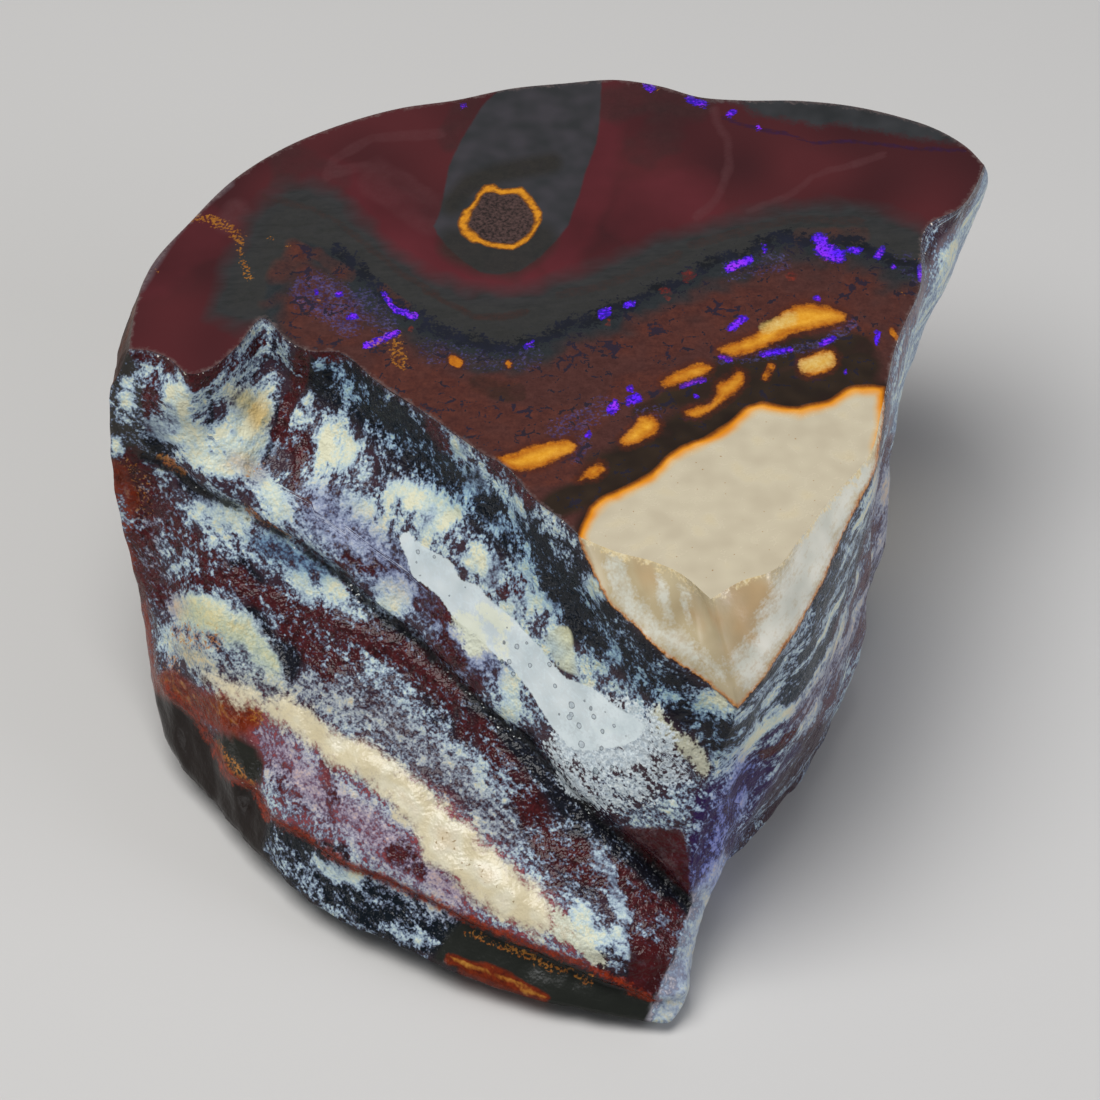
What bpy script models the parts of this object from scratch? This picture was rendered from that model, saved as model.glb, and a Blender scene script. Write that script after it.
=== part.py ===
"""Boulder opal specimen: one natural stone with a sawn top and a broken front.

Units are metres, +Z is up, the flat underside rests on z = 0 and the origin is
the middle of that underside's bounding box.  The wall is a loft between ten
unlike closed sections; every section runs from the left corner along the front
ridge, round the cream corner, up the right flank and back over the nodule skin.
"""
import bpy
import numpy as np

# driving dimensions, millimetres
HEIGHT = 42.0
CENTRE = (-0.1, 0.7)
SKIN_HUB = (0.0, 5.0)
LEDGE_INSET = (0.75, 1.25)
LEDGE_DROP = 1.0
FOOT_INSET = (0.35, 0.6)
FOOT_DROP = 0.9
BASE_INSET = 1.1
BASE_INSET_PER_MM = 0.42
SKIN_LUMP = 0.45
FRACTURE_LUMP = 0.22

# faceting: columns in each span, rows between neighbouring sections
SPAN_COLUMNS = (54, 16, 24, 22, 40)
BAND_ROWS = (2, 3, 5, 1, 3, 2, 1, 2, 2)

# spans of every section: ridge, crest, corner, flank; the back arc is worked out
RIM = (
    [(-42.1, 4.9), (-40.0, 4.6), (-38.2, 3.6), (-36.0, 1.3), (-34.5, 1.7), (-31.6, 5.2),
     (-29.3, 9.4), (-26.6, 6.1), (-24.7, 4.7), (-21.3, 4.3), (-17.7, 0.2), (-12.3, -4.8),
     (-7.3, -9.9), (-4.9, -11.9), (-2.8, -15.5), (0.5, -19.2)],
    [(2.0, -21.3), (5.6, -23.3), (8.4, -24.3), (11.3, -26.1)],
    [(13.9, -29.3), (17.1, -26.8), (19.5, -25.8), (22.5, -21.3), (25.5, -16.2), (29.8, -9.4)],
    [(31.0, -3.8), (33.1, 6.2), (35.7, 13.7), (37.5, 23.8), (40.5, 26.0), (42.4, 29.6)],
)
RIM_BACK = [
    (43.4, 32.7), (41.9, 35.4), (38.3, 38.8), (35.2, 40.4), (30.1, 42.2), (25.0, 43.0),
    (18.8, 43.1), (14.6, 43.6), (10.5, 45.4), (6.4, 46.4), (0.1, 45.8), (-4.6, 45.1),
    (-10.8, 43.1), (-16.5, 41.8), (-22.6, 39.1), (-27.6, 35.9), (-32.9, 30.7), (-37.2, 23.8),
    (-40.8, 16.8), (-41.8, 11.3), (-42.1, 4.9)]
BEVEL = (
    [(-42.5, 4.5, 41.2), (-40.1, 4.4, 41.2), (-38.3, 3.3, 41.2), (-36.1, 1.0, 41.2),
     (-34.5, 1.5, 41.2), (-31.6, 4.9, 41.2), (-29.3, 9.0, 41.2), (-26.6, 5.8, 41.2),
     (-24.7, 4.4, 41.2), (-21.3, 4.0, 41.2), (-17.7, -0.1, 41.2), (-12.3, -5.1, 41.2),
     (-7.3, -10.2, 41.2), (-4.9, -12.2, 41.2), (-2.9, -15.8, 41.2), (0.4, -19.5, 41.2)],
    [(2.1, -21.6, 41.1), (4.5, -25.5, 38.0), (7.2, -27.7, 37.0), (9.2, -29.8, 36.0),
     (13.4, -31.2, 33.5)],
    [(16.6, -33.4, 32.0), (18.9, -31.1, 33.5), (22.2, -26.4, 35.5), (24.3, -22.6, 37.0),
     (27.3, -16.1, 39.5), (30.0, -10.7, 40.8)],
    [(31.2, -3.6, 41.2), (32.0, -0.6, 41.0), (34.0, 6.9, 40.0), (36.5, 15.4, 39.0),
     (38.4, 19.7, 38.5), (40.1, 24.3, 38.5), (41.1, 27.9, 39.0), (42.6, 30.0, 40.0)],
    (43.8, 33.0, 41.0),
)
BAND = (
    [(-44.0, 3.6, 38.0), (-40.1, 1.9, 38.0), (-36.2, 0.2, 38.0), (-32.2, 3.2, 38.0),
     (-29.0, 7.2, 38.2), (-25.6, 4.4, 37.6), (-21.1, 2.4, 37.6), (-17.1, -1.4, 37.4),
     (-11.6, -6.6, 37.2), (-5.7, -13.0, 37.0), (-1.9, -18.2, 36.0)],
    [(2.1, -22.6, 34.5), (5.6, -27.2, 33.0), (9.4, -30.8, 30.0), (13.2, -32.6, 25.0)],
    [(14.3, -33.7, 22.0), (15.9, -32.5, 22.0), (18.1, -29.6, 22.0), (22.2, -25.5, 22.0),
     (25.8, -19.4, 23.0), (27.6, -13.7, 24.0), (29.7, -6.3, 25.0)],
    [(30.8, -2.8, 26.0), (32.3, 5.2, 27.5), (33.9, 9.4, 29.0), (35.1, 15.0, 30.0),
     (37.4, 19.6, 32.0), (41.0, 27.9, 34.0)],
    (44.0, 34.4, 36.0),
)
CRACK = (
    [(-44.3, 0.3, 29.0), (-40.9, 0.6, 30.3), (-37.9, -0.5, 30.5), (-35.9, -2.1, 30.0),
     (-32.3, -4.3, 29.5), (-28.1, -6.9, 28.5), (-25.5, -8.2, 28.0), (-20.9, -11.7, 26.5),
     (-18.8, -13.6, 25.5), (-14.4, -16.7, 24.0), (-10.5, -20.9, 22.5), (-5.9, -25.2, 21.0),
     (-1.4, -28.7, 19.0)],
    [(1.9, -31.9, 17.0), (4.8, -34.1, 15.5), (8.4, -36.5, 13.5), (11.0, -38.6, 12.0)],
    [(12.4, -39.8, 11.0), (13.8, -37.6, 10.2), (15.9, -33.8, 11.4), (18.2, -30.2, 13.4),
     (20.3, -27.9, 16.0), (22.3, -25.6, 18.0), (26.1, -17.2, 15.0), (28.4, -11.5, 13.0),
     (30.3, -6.6, 12.0)],
    [(31.0, -4.0, 12.0), (30.8, -2.5, 15.0), (31.5, -0.2, 17.0), (33.0, 3.0, 18.0),
     (33.4, 8.0, 19.0), (33.6, 13.0, 20.0), (34.2, 18.0, 20.5), (35.4, 24.0, 21.0),
     (37.0, 30.0, 22.0)],
    (39.0, 36.0, 23.0),
)
VEIN = (
    [(-42.0, -3.3, 14.5), (-38.9, -8.6, 15.0), (-35.6, -13.4, 16.0), (-32.7, -15.8, 15.8),
     (-29.7, -17.7, 15.5), (-26.1, -19.7, 15.5), (-22.4, -23.0, 15.5), (-18.6, -25.6, 15.4),
     (-13.6, -29.9, 13.5), (-9.1, -33.8, 12.0), (-5.8, -37.2, 10.7), (-1.7, -39.8, 9.3)],
    [(0.0, -41.5, 8.6), (2.9, -43.2, 8.0), (6.2, -43.6, 8.0), (8.6, -43.5, 7.5)],
    [(10.7, -42.8, 7.0), (12.7, -40.5, 5.8), (13.2, -37.0, 5.9), (14.0, -33.5, 6.0),
     (17.0, -28.5, 6.5), (21.0, -23.0, 7.0), (25.0, -17.0, 7.0), (28.3, -10.0, 7.2)],
    [(29.8, -4.0, 7.5), (30.5, 2.0, 9.0), (31.0, 8.0, 10.0), (31.5, 14.0, 11.0),
     (32.5, 20.0, 12.0), (33.8, 26.0, 13.0)],
    (35.5, 33.5, 14.0),
)
FOOT = (
    [(-41.6, -5.8, 9.5), (-39.8, -10.5, 10.0), (-36.6, -13.9, 9.6), (-34.5, -17.1, 9.2),
     (-32.8, -20.9, 9.0), (-29.9, -23.6, 9.0), (-28.6, -26.2, 9.0), (-25.0, -29.2, 9.0),
     (-20.7, -32.7, 8.5), (-17.3, -34.3, 8.5), (-12.3, -36.8, 8.0), (-6.7, -39.9, 7.2)],
    [(-2.9, -41.6, 6.6), (1.0, -43.4, 5.8), (3.4, -44.5, 5.4), (7.1, -45.4, 5.0)],
    [(9.1, -45.8, 4.2), (11.9, -44.6, 3.7), (12.6, -42.0, 3.8), (12.8, -38.0, 3.8),
     (13.5, -34.0, 3.8), (16.0, -28.5, 3.9), (20.0, -23.0, 4.0), (24.0, -17.0, 4.0),
     (27.3, -10.0, 4.2)],
    [(28.6, -4.0, 4.5), (29.0, 2.0, 5.2), (29.5, 8.0, 6.0), (30.0, 14.0, 6.5),
     (30.8, 20.0, 7.0), (32.0, 26.0, 7.5)],
    (33.0, 31.5, 8.0),
)
TOE = (
    [(-40.9, -7.4, 5.6), (-39.7, -11.8, 4.2), (-37.9, -15.0, 3.2), (-34.5, -19.8, 3.0),
     (-30.6, -25.5, 3.0), (-26.9, -30.2, 3.0), (-21.3, -34.9, 3.0), (-14.9, -38.7, 3.0),
     (-9.9, -41.5, 2.8)],
    [(-5.8, -43.1, 2.5), (-1.7, -44.6, 2.4), (1.8, -45.4, 2.2), (5.1, -46.1, 2.0)],
    [(8.3, -46.5, 1.6), (10.4, -46.4, 1.5), (11.5, -45.0, 1.7), (12.0, -42.0, 1.9),
     (12.1, -38.0, 1.9), (12.6, -34.0, 1.9), (14.8, -28.0, 1.9), (18.6, -22.5, 1.9),
     (22.4, -16.5, 1.9), (25.4, -9.5, 1.9)],
    [(26.4, -4.0, 1.9), (26.7, 2.0, 1.9), (27.0, 8.0, 2.0), (27.2, 14.0, 2.0),
     (27.6, 20.0, 2.1), (28.0, 24.0, 2.2)],
    (28.4, 27.5, 2.3),
)
# growth and middle height of each section's back arc, rim to toe
BACK_ARC = ((1.012, 41.2), (1.03, 33.0), (1.0, 22.0), (0.89, 10.5), (0.80, 6.0), (0.72, 2.2))

# dished flakes in the broken front: centre, radius and depth
FLAKES = (
    ((-36.0, 0.0, 34.5), 5.5, 0.7),
    ((-25.5, 0.5, 34.0), 6.5, 0.9),
    ((-30.5, -3.5, 31.5), 4.0, 0.5),
    ((-14.5, -8.5, 32.5), 6.0, 0.7),
    ((-13.5, -14.5, 27.5), 5.0, 0.5),
    ((-3.0, -21.5, 29.0), 7.5, 0.8),
    ((6.0, -32.0, 20.5), 6.0, 0.7),
    ((12.5, -37.0, 14.5), 4.0, 0.5),
    ((-37.5, -6.0, 20.0), 5.5, 0.8),
    ((-28.0, -12.5, 20.0), 5.0, 0.6),
    ((-17.0, -22.0, 18.0), 5.0, 0.5),
    ((-3.5, -34.0, 13.0), 5.0, 0.5),
    ((-31.0, -21.0, 12.5), 3.6, 0.5),
    ((11.5, -28.6, 38.0), 3.4, 0.5),
    ((21.0, -27.0, 28.0), 5.0, 0.5),
    ((29.0, -10.5, 31.0), 5.5, 0.5),
    ((17.5, -29.5, 17.5), 4.0, 0.6),
)


def back_arc(start, end, grow, mid_height):
    """Rim arc grown about the hub, bent at both ends to meet the given points."""
    rim = np.array(RIM_BACK)
    run = np.concatenate(([0.0], np.cumsum(np.linalg.norm(np.diff(rim, axis=0), axis=1))))
    u = (run / run[-1])[:, None]
    plan = np.array(SKIN_HUB) + grow * (rim - np.array(SKIN_HUB))
    arc = np.hstack((plan, np.full_like(u, mid_height)))
    head = np.array(start) - arc[0]
    tail = np.array(end) - arc[-1]
    return arc + (1.0 - u) ** 2 * head + u ** 2 * tail


def smooth_run(points, weights, count):
    """Even stations along the smooth curve through the points, last one left out."""
    p = np.asarray(points, float)
    step = np.linalg.norm(np.diff(p, axis=0) * weights, axis=1)
    knot = np.concatenate(([0.0], np.cumsum(step)))
    slope = np.empty_like(p)
    chord = np.diff(p, axis=0) / step[:, None]
    before, after = step[:-1, None], step[1:, None]
    slope[1:-1] = (chord[:-1] * after + chord[1:] * before) / (before + after)
    slope[0], slope[-1] = chord[0], chord[-1]
    at = np.linspace(0.0, knot[-1], count + 1)[:-1]
    i = np.clip(np.searchsorted(knot, at, side="right") - 1, 0, len(step) - 1)
    h = step[i][:, None]
    t = ((at - knot[i]) / step[i])[:, None]
    a, b = p[i], p[i + 1]
    return ((2 * t ** 3 - 3 * t ** 2 + 1) * a + (t ** 3 - 2 * t ** 2 + t) * h * slope[i]
            + (3 * t ** 2 - 2 * t ** 3) * b + (t ** 3 - t ** 2) * h * slope[i + 1])


def ring(section, grow, mid_height, columns):
    """Closed ring of one section: four measured spans and the worked-out back arc."""
    corner = section[4]
    starts = [span[0] for span in section[:4]] + [corner]
    spans = [list(section[k]) + [starts[k + 1]] for k in range(4)]
    spans.append(back_arc(corner, section[0][0], grow, mid_height))
    weights = [(1.0, 0.35, 0.0), (1.0, 0.35, 0.0), (1.0, 1.0, 0.2), (1.0, 1.0, 0.2), (1.0, 1.0, 0.0)]
    return np.vstack([smooth_run(s, w, n) for s, w, n in zip(spans, weights, columns)])


def lumps(p, scale):
    """Smooth irregular field between about -1 and 1, from crossed slanting waves."""
    x, y, z = p[..., 0] / scale, p[..., 1] / scale, p[..., 2] / scale
    return (np.sin(1.0 * x + 2.1 * y + 0.7 * z + 0.4) * np.cos(1.7 * z - 0.9 * x + 1.3)
            + 0.6 * np.sin(2.9 * x - 1.4 * y + 2.2 * z) * np.cos(2.3 * y + 1.1 * z + 2.0)
            + 0.4 * np.sin(4.1 * z + 3.3 * x) * np.sin(3.7 * y - 2.0 * x + 0.8)) / 1.4


def stone_wall(columns, rows):
    """Wall grid in mm: a loft down ten rings, straight on the broken faces and
    smooth on the skin, then dished by flakes and lumps except at rim and base."""
    rim3 = tuple([(x, y, HEIGHT) for x, y in span] for span in RIM) + ((*RIM_BACK[0], HEIGHT),)
    listed = (rim3, BEVEL, BAND, CRACK, VEIN, FOOT, TOE)
    arcs = ((1.0, HEIGHT),) + BACK_ARC
    rim, bevel, band, crack, vein, foot, toe = (
        ring(s, g, m, columns) for s, (g, m) in zip(listed, arcs))
    count = sum(columns)
    front = np.interp(np.arange(count), np.cumsum((0,) + columns[:3]), (0.15, 1.0, 0.75, 0.0))
    front = front * np.minimum(1.0, np.arange(count) / (0.12 * columns[0]))
    step = crack + np.outer(front, (*LEDGE_INSET, 0.0)) + np.array((0.0, 0.0, -LEDGE_DROP))
    under = foot + np.outer(front, (*FOOT_INSET, 0.0)) + np.array((0.0, 0.0, -FOOT_DROP))
    hub = np.array((-3.0, 2.0))
    out = toe[:, :2] - hub
    reach = np.linalg.norm(out, axis=1)
    inset = BASE_INSET + BASE_INSET_PER_MM * toe[:, 2]
    base = np.column_stack((hub + out * (1.0 - inset / reach)[:, None], np.zeros(count)))
    rings = np.array((rim, bevel, band, crack, step, vein, foot, under, toe, base))

    smooth = np.interp(np.arange(count), np.cumsum((0,) + columns), (0.5, 0.2, 0.2, 0.5, 1.0, 0.5))
    gap = np.linalg.norm(np.diff(rings, axis=0), axis=2)[..., None]
    chord = np.diff(rings, axis=0) / gap
    slope = np.empty_like(rings)
    slope[1:-1] = (chord[:-1] * gap[1:] + chord[1:] * gap[:-1]) / (gap[:-1] + gap[1:])
    slope[0], slope[-1] = chord[0], chord[-1]
    layers = []
    for k, n in enumerate(rows):
        for t in np.arange(n) / n:
            straight = (1 - t) * rings[k] + t * rings[k + 1]
            curved = ((2 * t ** 3 - 3 * t ** 2 + 1) * rings[k] + (3 * t ** 2 - 2 * t ** 3) * rings[k + 1]
                      + (t ** 3 - 2 * t ** 2 + t) * gap[k] * slope[k]
                      + (t ** 3 - t ** 2) * gap[k] * slope[k + 1])
            layers.append(straight + smooth[:, None] * (curved - straight))
    layers.append(rings[-1])
    grid = np.array(layers)

    along = np.roll(grid, -1, axis=1) - np.roll(grid, 1, axis=1)
    down = np.gradient(grid, axis=0)
    normal = np.cross(down, along)
    normal /= np.linalg.norm(normal, axis=2, keepdims=True)
    drop = HEIGHT - grid[..., 2]
    free = np.clip(drop / 6.0, 0.0, 1.0) * np.clip(grid[..., 2] / 4.0, 0.0, 1.0)
    skin = np.clip((smooth - 0.5) / 0.5, 0.0, 1.0)
    move = free * (SKIN_LUMP * skin * lumps(grid, 7.0) + FRACTURE_LUMP * (1 - skin) * lumps(grid, 3.5))
    for centre, radius, depth in FLAKES:
        away = np.linalg.norm(grid - np.array(centre), axis=2) / radius
        move = move - free * depth * np.clip(1.0 - away ** 2, 0.0, None)
    grid = grid + normal * move[..., None]
    grid[..., :2] -= np.array(CENTRE)
    return grid


def clear_scene():
    for thing in list(bpy.data.objects):
        bpy.data.objects.remove(thing, do_unlink=True)
    for mesh in list(bpy.data.meshes):
        bpy.data.meshes.remove(mesh)


def stone_material():
    stone = bpy.data.materials.new("ironstone_with_opal")
    stone.use_nodes = True
    shader = stone.node_tree.nodes["Principled BSDF"]
    shader.inputs["Base Color"].default_value = (0.065, 0.023, 0.019, 1.0)
    shader.inputs["Roughness"].default_value = 0.3
    return stone


def build_stone():
    """Closed mesh: wall quads split along one diagonal, one flat top, one flat base."""
    grid = stone_wall(SPAN_COLUMNS, BAND_ROWS)
    levels, count, _ = grid.shape
    verts = (grid.reshape(-1, 3) * 0.001).tolist()
    here = np.arange(count)
    there = np.roll(here, -1)
    faces = []
    for level in range(levels - 1):
        a, b = level * count + here, level * count + there
        c, d = (level + 1) * count + there, (level + 1) * count + here
        faces += np.column_stack((a, d, c)).tolist()
        faces += np.column_stack((a, c, b)).tolist()
    faces.append(here.tolist())
    faces.append(((levels - 1) * count + here[::-1]).tolist())
    mesh = bpy.data.meshes.new("boulder_opal")
    mesh.from_pydata(verts, [], faces)
    mesh.validate()
    mesh.materials.append(stone_material())
    stone = bpy.data.objects.new("boulder_opal", mesh)
    group = bpy.data.collections.new("boulder_opal_slab")
    bpy.context.scene.collection.children.link(group)
    group.objects.link(stone)


clear_scene()
build_stone()
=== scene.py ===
import math

import bpy
import numpy as np
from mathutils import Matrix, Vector


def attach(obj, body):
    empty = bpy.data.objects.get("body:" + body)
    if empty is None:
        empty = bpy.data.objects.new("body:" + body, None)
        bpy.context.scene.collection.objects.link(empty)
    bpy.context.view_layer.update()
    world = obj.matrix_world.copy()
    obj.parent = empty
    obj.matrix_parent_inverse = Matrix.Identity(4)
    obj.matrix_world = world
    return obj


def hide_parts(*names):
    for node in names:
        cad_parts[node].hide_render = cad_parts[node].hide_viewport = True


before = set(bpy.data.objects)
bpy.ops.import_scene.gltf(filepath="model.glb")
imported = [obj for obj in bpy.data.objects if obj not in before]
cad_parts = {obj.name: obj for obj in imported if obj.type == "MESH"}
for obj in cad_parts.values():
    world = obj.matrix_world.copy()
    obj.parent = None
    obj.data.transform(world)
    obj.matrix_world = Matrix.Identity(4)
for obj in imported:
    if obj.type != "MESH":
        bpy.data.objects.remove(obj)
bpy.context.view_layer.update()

# The stone's driving dimensions in millimetres, as in the part's source.
HEIGHT = 42.0
CENTRE = (-0.1, 0.7)
SKIN_HUB = (0.0, 5.0)
LEDGE_INSET = (0.75, 1.25)
LEDGE_DROP = 1.0
FOOT_INSET = (0.35, 0.6)
FOOT_DROP = 0.9
BASE_INSET = 1.1
BASE_INSET_PER_MM = 0.42
SKIN_LUMP = 0.45
SKIN_LUMP_REACH = 7.0
FRACTURE_LUMP = 0.22
FRACTURE_LUMP_REACH = 3.5
RIM_FADE = 6.0
BASE_FADE = 4.0
BASE_HUB = (-3.0, 2.0)

# Along the five spans of a ring: how closely stations follow each axis, then, at the
# span ends, the share of the ledges and how smooth the sections run into each other.
SPAN_WEIGHTS = ((1.0, 0.35, 0.0), (1.0, 0.35, 0.0), (1.0, 1.0, 0.2), (1.0, 1.0, 0.2), (1.0, 1.0, 0.0))
LEDGE_SHARES = (0.15, 1.0, 0.75, 0.0)
LEDGE_START = 0.12
SPAN_SMOOTH = (0.5, 0.2, 0.2, 0.5, 1.0, 0.5)

# Finer faceting than the solid: columns in each span, rows between sections.
SPAN_COLUMNS = (160, 40, 80, 70, 350)
BAND_ROWS = (5, 11, 25, 3, 18, 11, 3, 8, 4)

# Spans of every section: ridge, crest, corner, flank; the back arc is worked out.
RIM = (
    [(-42.1, 4.9), (-40.0, 4.6), (-38.2, 3.6), (-36.0, 1.3), (-34.5, 1.7), (-31.6, 5.2),
     (-29.3, 9.4), (-26.6, 6.1), (-24.7, 4.7), (-21.3, 4.3), (-17.7, 0.2), (-12.3, -4.8),
     (-7.3, -9.9), (-4.9, -11.9), (-2.8, -15.5), (0.5, -19.2)],
    [(2.0, -21.3), (5.6, -23.3), (8.4, -24.3), (11.3, -26.1)],
    [(13.9, -29.3), (17.1, -26.8), (19.5, -25.8), (22.5, -21.3), (25.5, -16.2), (29.8, -9.4)],
    [(31.0, -3.8), (33.1, 6.2), (35.7, 13.7), (37.5, 23.8), (40.5, 26.0), (42.4, 29.6)],
)
RIM_BACK = [
    (43.4, 32.7), (41.9, 35.4), (38.3, 38.8), (35.2, 40.4), (30.1, 42.2), (25.0, 43.0),
    (18.8, 43.1), (14.6, 43.6), (10.5, 45.4), (6.4, 46.4), (0.1, 45.8), (-4.6, 45.1),
    (-10.8, 43.1), (-16.5, 41.8), (-22.6, 39.1), (-27.6, 35.9), (-32.9, 30.7), (-37.2, 23.8),
    (-40.8, 16.8), (-41.8, 11.3), (-42.1, 4.9)]
BEVEL = (
    [(-42.5, 4.5, 41.2), (-40.1, 4.4, 41.2), (-38.3, 3.3, 41.2), (-36.1, 1.0, 41.2),
     (-34.5, 1.5, 41.2), (-31.6, 4.9, 41.2), (-29.3, 9.0, 41.2), (-26.6, 5.8, 41.2),
     (-24.7, 4.4, 41.2), (-21.3, 4.0, 41.2), (-17.7, -0.1, 41.2), (-12.3, -5.1, 41.2),
     (-7.3, -10.2, 41.2), (-4.9, -12.2, 41.2), (-2.9, -15.8, 41.2), (0.4, -19.5, 41.2)],
    [(2.1, -21.6, 41.1), (4.5, -25.5, 38.0), (7.2, -27.7, 37.0), (9.2, -29.8, 36.0),
     (13.4, -31.2, 33.5)],
    [(16.6, -33.4, 32.0), (18.9, -31.1, 33.5), (22.2, -26.4, 35.5), (24.3, -22.6, 37.0),
     (27.3, -16.1, 39.5), (30.0, -10.7, 40.8)],
    [(31.2, -3.6, 41.2), (32.0, -0.6, 41.0), (34.0, 6.9, 40.0), (36.5, 15.4, 39.0),
     (38.4, 19.7, 38.5), (40.1, 24.3, 38.5), (41.1, 27.9, 39.0), (42.6, 30.0, 40.0)],
    (43.8, 33.0, 41.0),
)
BAND = (
    [(-44.0, 3.6, 38.0), (-40.1, 1.9, 38.0), (-36.2, 0.2, 38.0), (-32.2, 3.2, 38.0),
     (-29.0, 7.2, 38.2), (-25.6, 4.4, 37.6), (-21.1, 2.4, 37.6), (-17.1, -1.4, 37.4),
     (-11.6, -6.6, 37.2), (-5.7, -13.0, 37.0), (-1.9, -18.2, 36.0)],
    [(2.1, -22.6, 34.5), (5.6, -27.2, 33.0), (9.4, -30.8, 30.0), (13.2, -32.6, 25.0)],
    [(14.3, -33.7, 22.0), (15.9, -32.5, 22.0), (18.1, -29.6, 22.0), (22.2, -25.5, 22.0),
     (25.8, -19.4, 23.0), (27.6, -13.7, 24.0), (29.7, -6.3, 25.0)],
    [(30.8, -2.8, 26.0), (32.3, 5.2, 27.5), (33.9, 9.4, 29.0), (35.1, 15.0, 30.0),
     (37.4, 19.6, 32.0), (41.0, 27.9, 34.0)],
    (44.0, 34.4, 36.0),
)
CRACK = (
    [(-44.3, 0.3, 29.0), (-40.9, 0.6, 30.3), (-37.9, -0.5, 30.5), (-35.9, -2.1, 30.0),
     (-32.3, -4.3, 29.5), (-28.1, -6.9, 28.5), (-25.5, -8.2, 28.0), (-20.9, -11.7, 26.5),
     (-18.8, -13.6, 25.5), (-14.4, -16.7, 24.0), (-10.5, -20.9, 22.5), (-5.9, -25.2, 21.0),
     (-1.4, -28.7, 19.0)],
    [(1.9, -31.9, 17.0), (4.8, -34.1, 15.5), (8.4, -36.5, 13.5), (11.0, -38.6, 12.0)],
    [(12.4, -39.8, 11.0), (13.8, -37.6, 10.2), (15.9, -33.8, 11.4), (18.2, -30.2, 13.4),
     (20.3, -27.9, 16.0), (22.3, -25.6, 18.0), (26.1, -17.2, 15.0), (28.4, -11.5, 13.0),
     (30.3, -6.6, 12.0)],
    [(31.0, -4.0, 12.0), (30.8, -2.5, 15.0), (31.5, -0.2, 17.0), (33.0, 3.0, 18.0),
     (33.4, 8.0, 19.0), (33.6, 13.0, 20.0), (34.2, 18.0, 20.5), (35.4, 24.0, 21.0),
     (37.0, 30.0, 22.0)],
    (39.0, 36.0, 23.0),
)
VEIN = (
    [(-42.0, -3.3, 14.5), (-38.9, -8.6, 15.0), (-35.6, -13.4, 16.0), (-32.7, -15.8, 15.8),
     (-29.7, -17.7, 15.5), (-26.1, -19.7, 15.5), (-22.4, -23.0, 15.5), (-18.6, -25.6, 15.4),
     (-13.6, -29.9, 13.5), (-9.1, -33.8, 12.0), (-5.8, -37.2, 10.7), (-1.7, -39.8, 9.3)],
    [(0.0, -41.5, 8.6), (2.9, -43.2, 8.0), (6.2, -43.6, 8.0), (8.6, -43.5, 7.5)],
    [(10.7, -42.8, 7.0), (12.7, -40.5, 5.8), (13.2, -37.0, 5.9), (14.0, -33.5, 6.0),
     (17.0, -28.5, 6.5), (21.0, -23.0, 7.0), (25.0, -17.0, 7.0), (28.3, -10.0, 7.2)],
    [(29.8, -4.0, 7.5), (30.5, 2.0, 9.0), (31.0, 8.0, 10.0), (31.5, 14.0, 11.0),
     (32.5, 20.0, 12.0), (33.8, 26.0, 13.0)],
    (35.5, 33.5, 14.0),
)
FOOT = (
    [(-41.6, -5.8, 9.5), (-39.8, -10.5, 10.0), (-36.6, -13.9, 9.6), (-34.5, -17.1, 9.2),
     (-32.8, -20.9, 9.0), (-29.9, -23.6, 9.0), (-28.6, -26.2, 9.0), (-25.0, -29.2, 9.0),
     (-20.7, -32.7, 8.5), (-17.3, -34.3, 8.5), (-12.3, -36.8, 8.0), (-6.7, -39.9, 7.2)],
    [(-2.9, -41.6, 6.6), (1.0, -43.4, 5.8), (3.4, -44.5, 5.4), (7.1, -45.4, 5.0)],
    [(9.1, -45.8, 4.2), (11.9, -44.6, 3.7), (12.6, -42.0, 3.8), (12.8, -38.0, 3.8),
     (13.5, -34.0, 3.8), (16.0, -28.5, 3.9), (20.0, -23.0, 4.0), (24.0, -17.0, 4.0),
     (27.3, -10.0, 4.2)],
    [(28.6, -4.0, 4.5), (29.0, 2.0, 5.2), (29.5, 8.0, 6.0), (30.0, 14.0, 6.5),
     (30.8, 20.0, 7.0), (32.0, 26.0, 7.5)],
    (33.0, 31.5, 8.0),
)
TOE = (
    [(-40.9, -7.4, 5.6), (-39.7, -11.8, 4.2), (-37.9, -15.0, 3.2), (-34.5, -19.8, 3.0),
     (-30.6, -25.5, 3.0), (-26.9, -30.2, 3.0), (-21.3, -34.9, 3.0), (-14.9, -38.7, 3.0),
     (-9.9, -41.5, 2.8)],
    [(-5.8, -43.1, 2.5), (-1.7, -44.6, 2.4), (1.8, -45.4, 2.2), (5.1, -46.1, 2.0)],
    [(8.3, -46.5, 1.6), (10.4, -46.4, 1.5), (11.5, -45.0, 1.7), (12.0, -42.0, 1.9),
     (12.1, -38.0, 1.9), (12.6, -34.0, 1.9), (14.8, -28.0, 1.9), (18.6, -22.5, 1.9),
     (22.4, -16.5, 1.9), (25.4, -9.5, 1.9)],
    [(26.4, -4.0, 1.9), (26.7, 2.0, 1.9), (27.0, 8.0, 2.0), (27.2, 14.0, 2.0),
     (27.6, 20.0, 2.1), (28.0, 24.0, 2.2)],
    (28.4, 27.5, 2.3),
)
BACK_ARC = ((1.012, 41.2), (1.03, 33.0), (1.0, 22.0), (0.89, 10.5), (0.80, 6.0), (0.72, 2.2))
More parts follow.
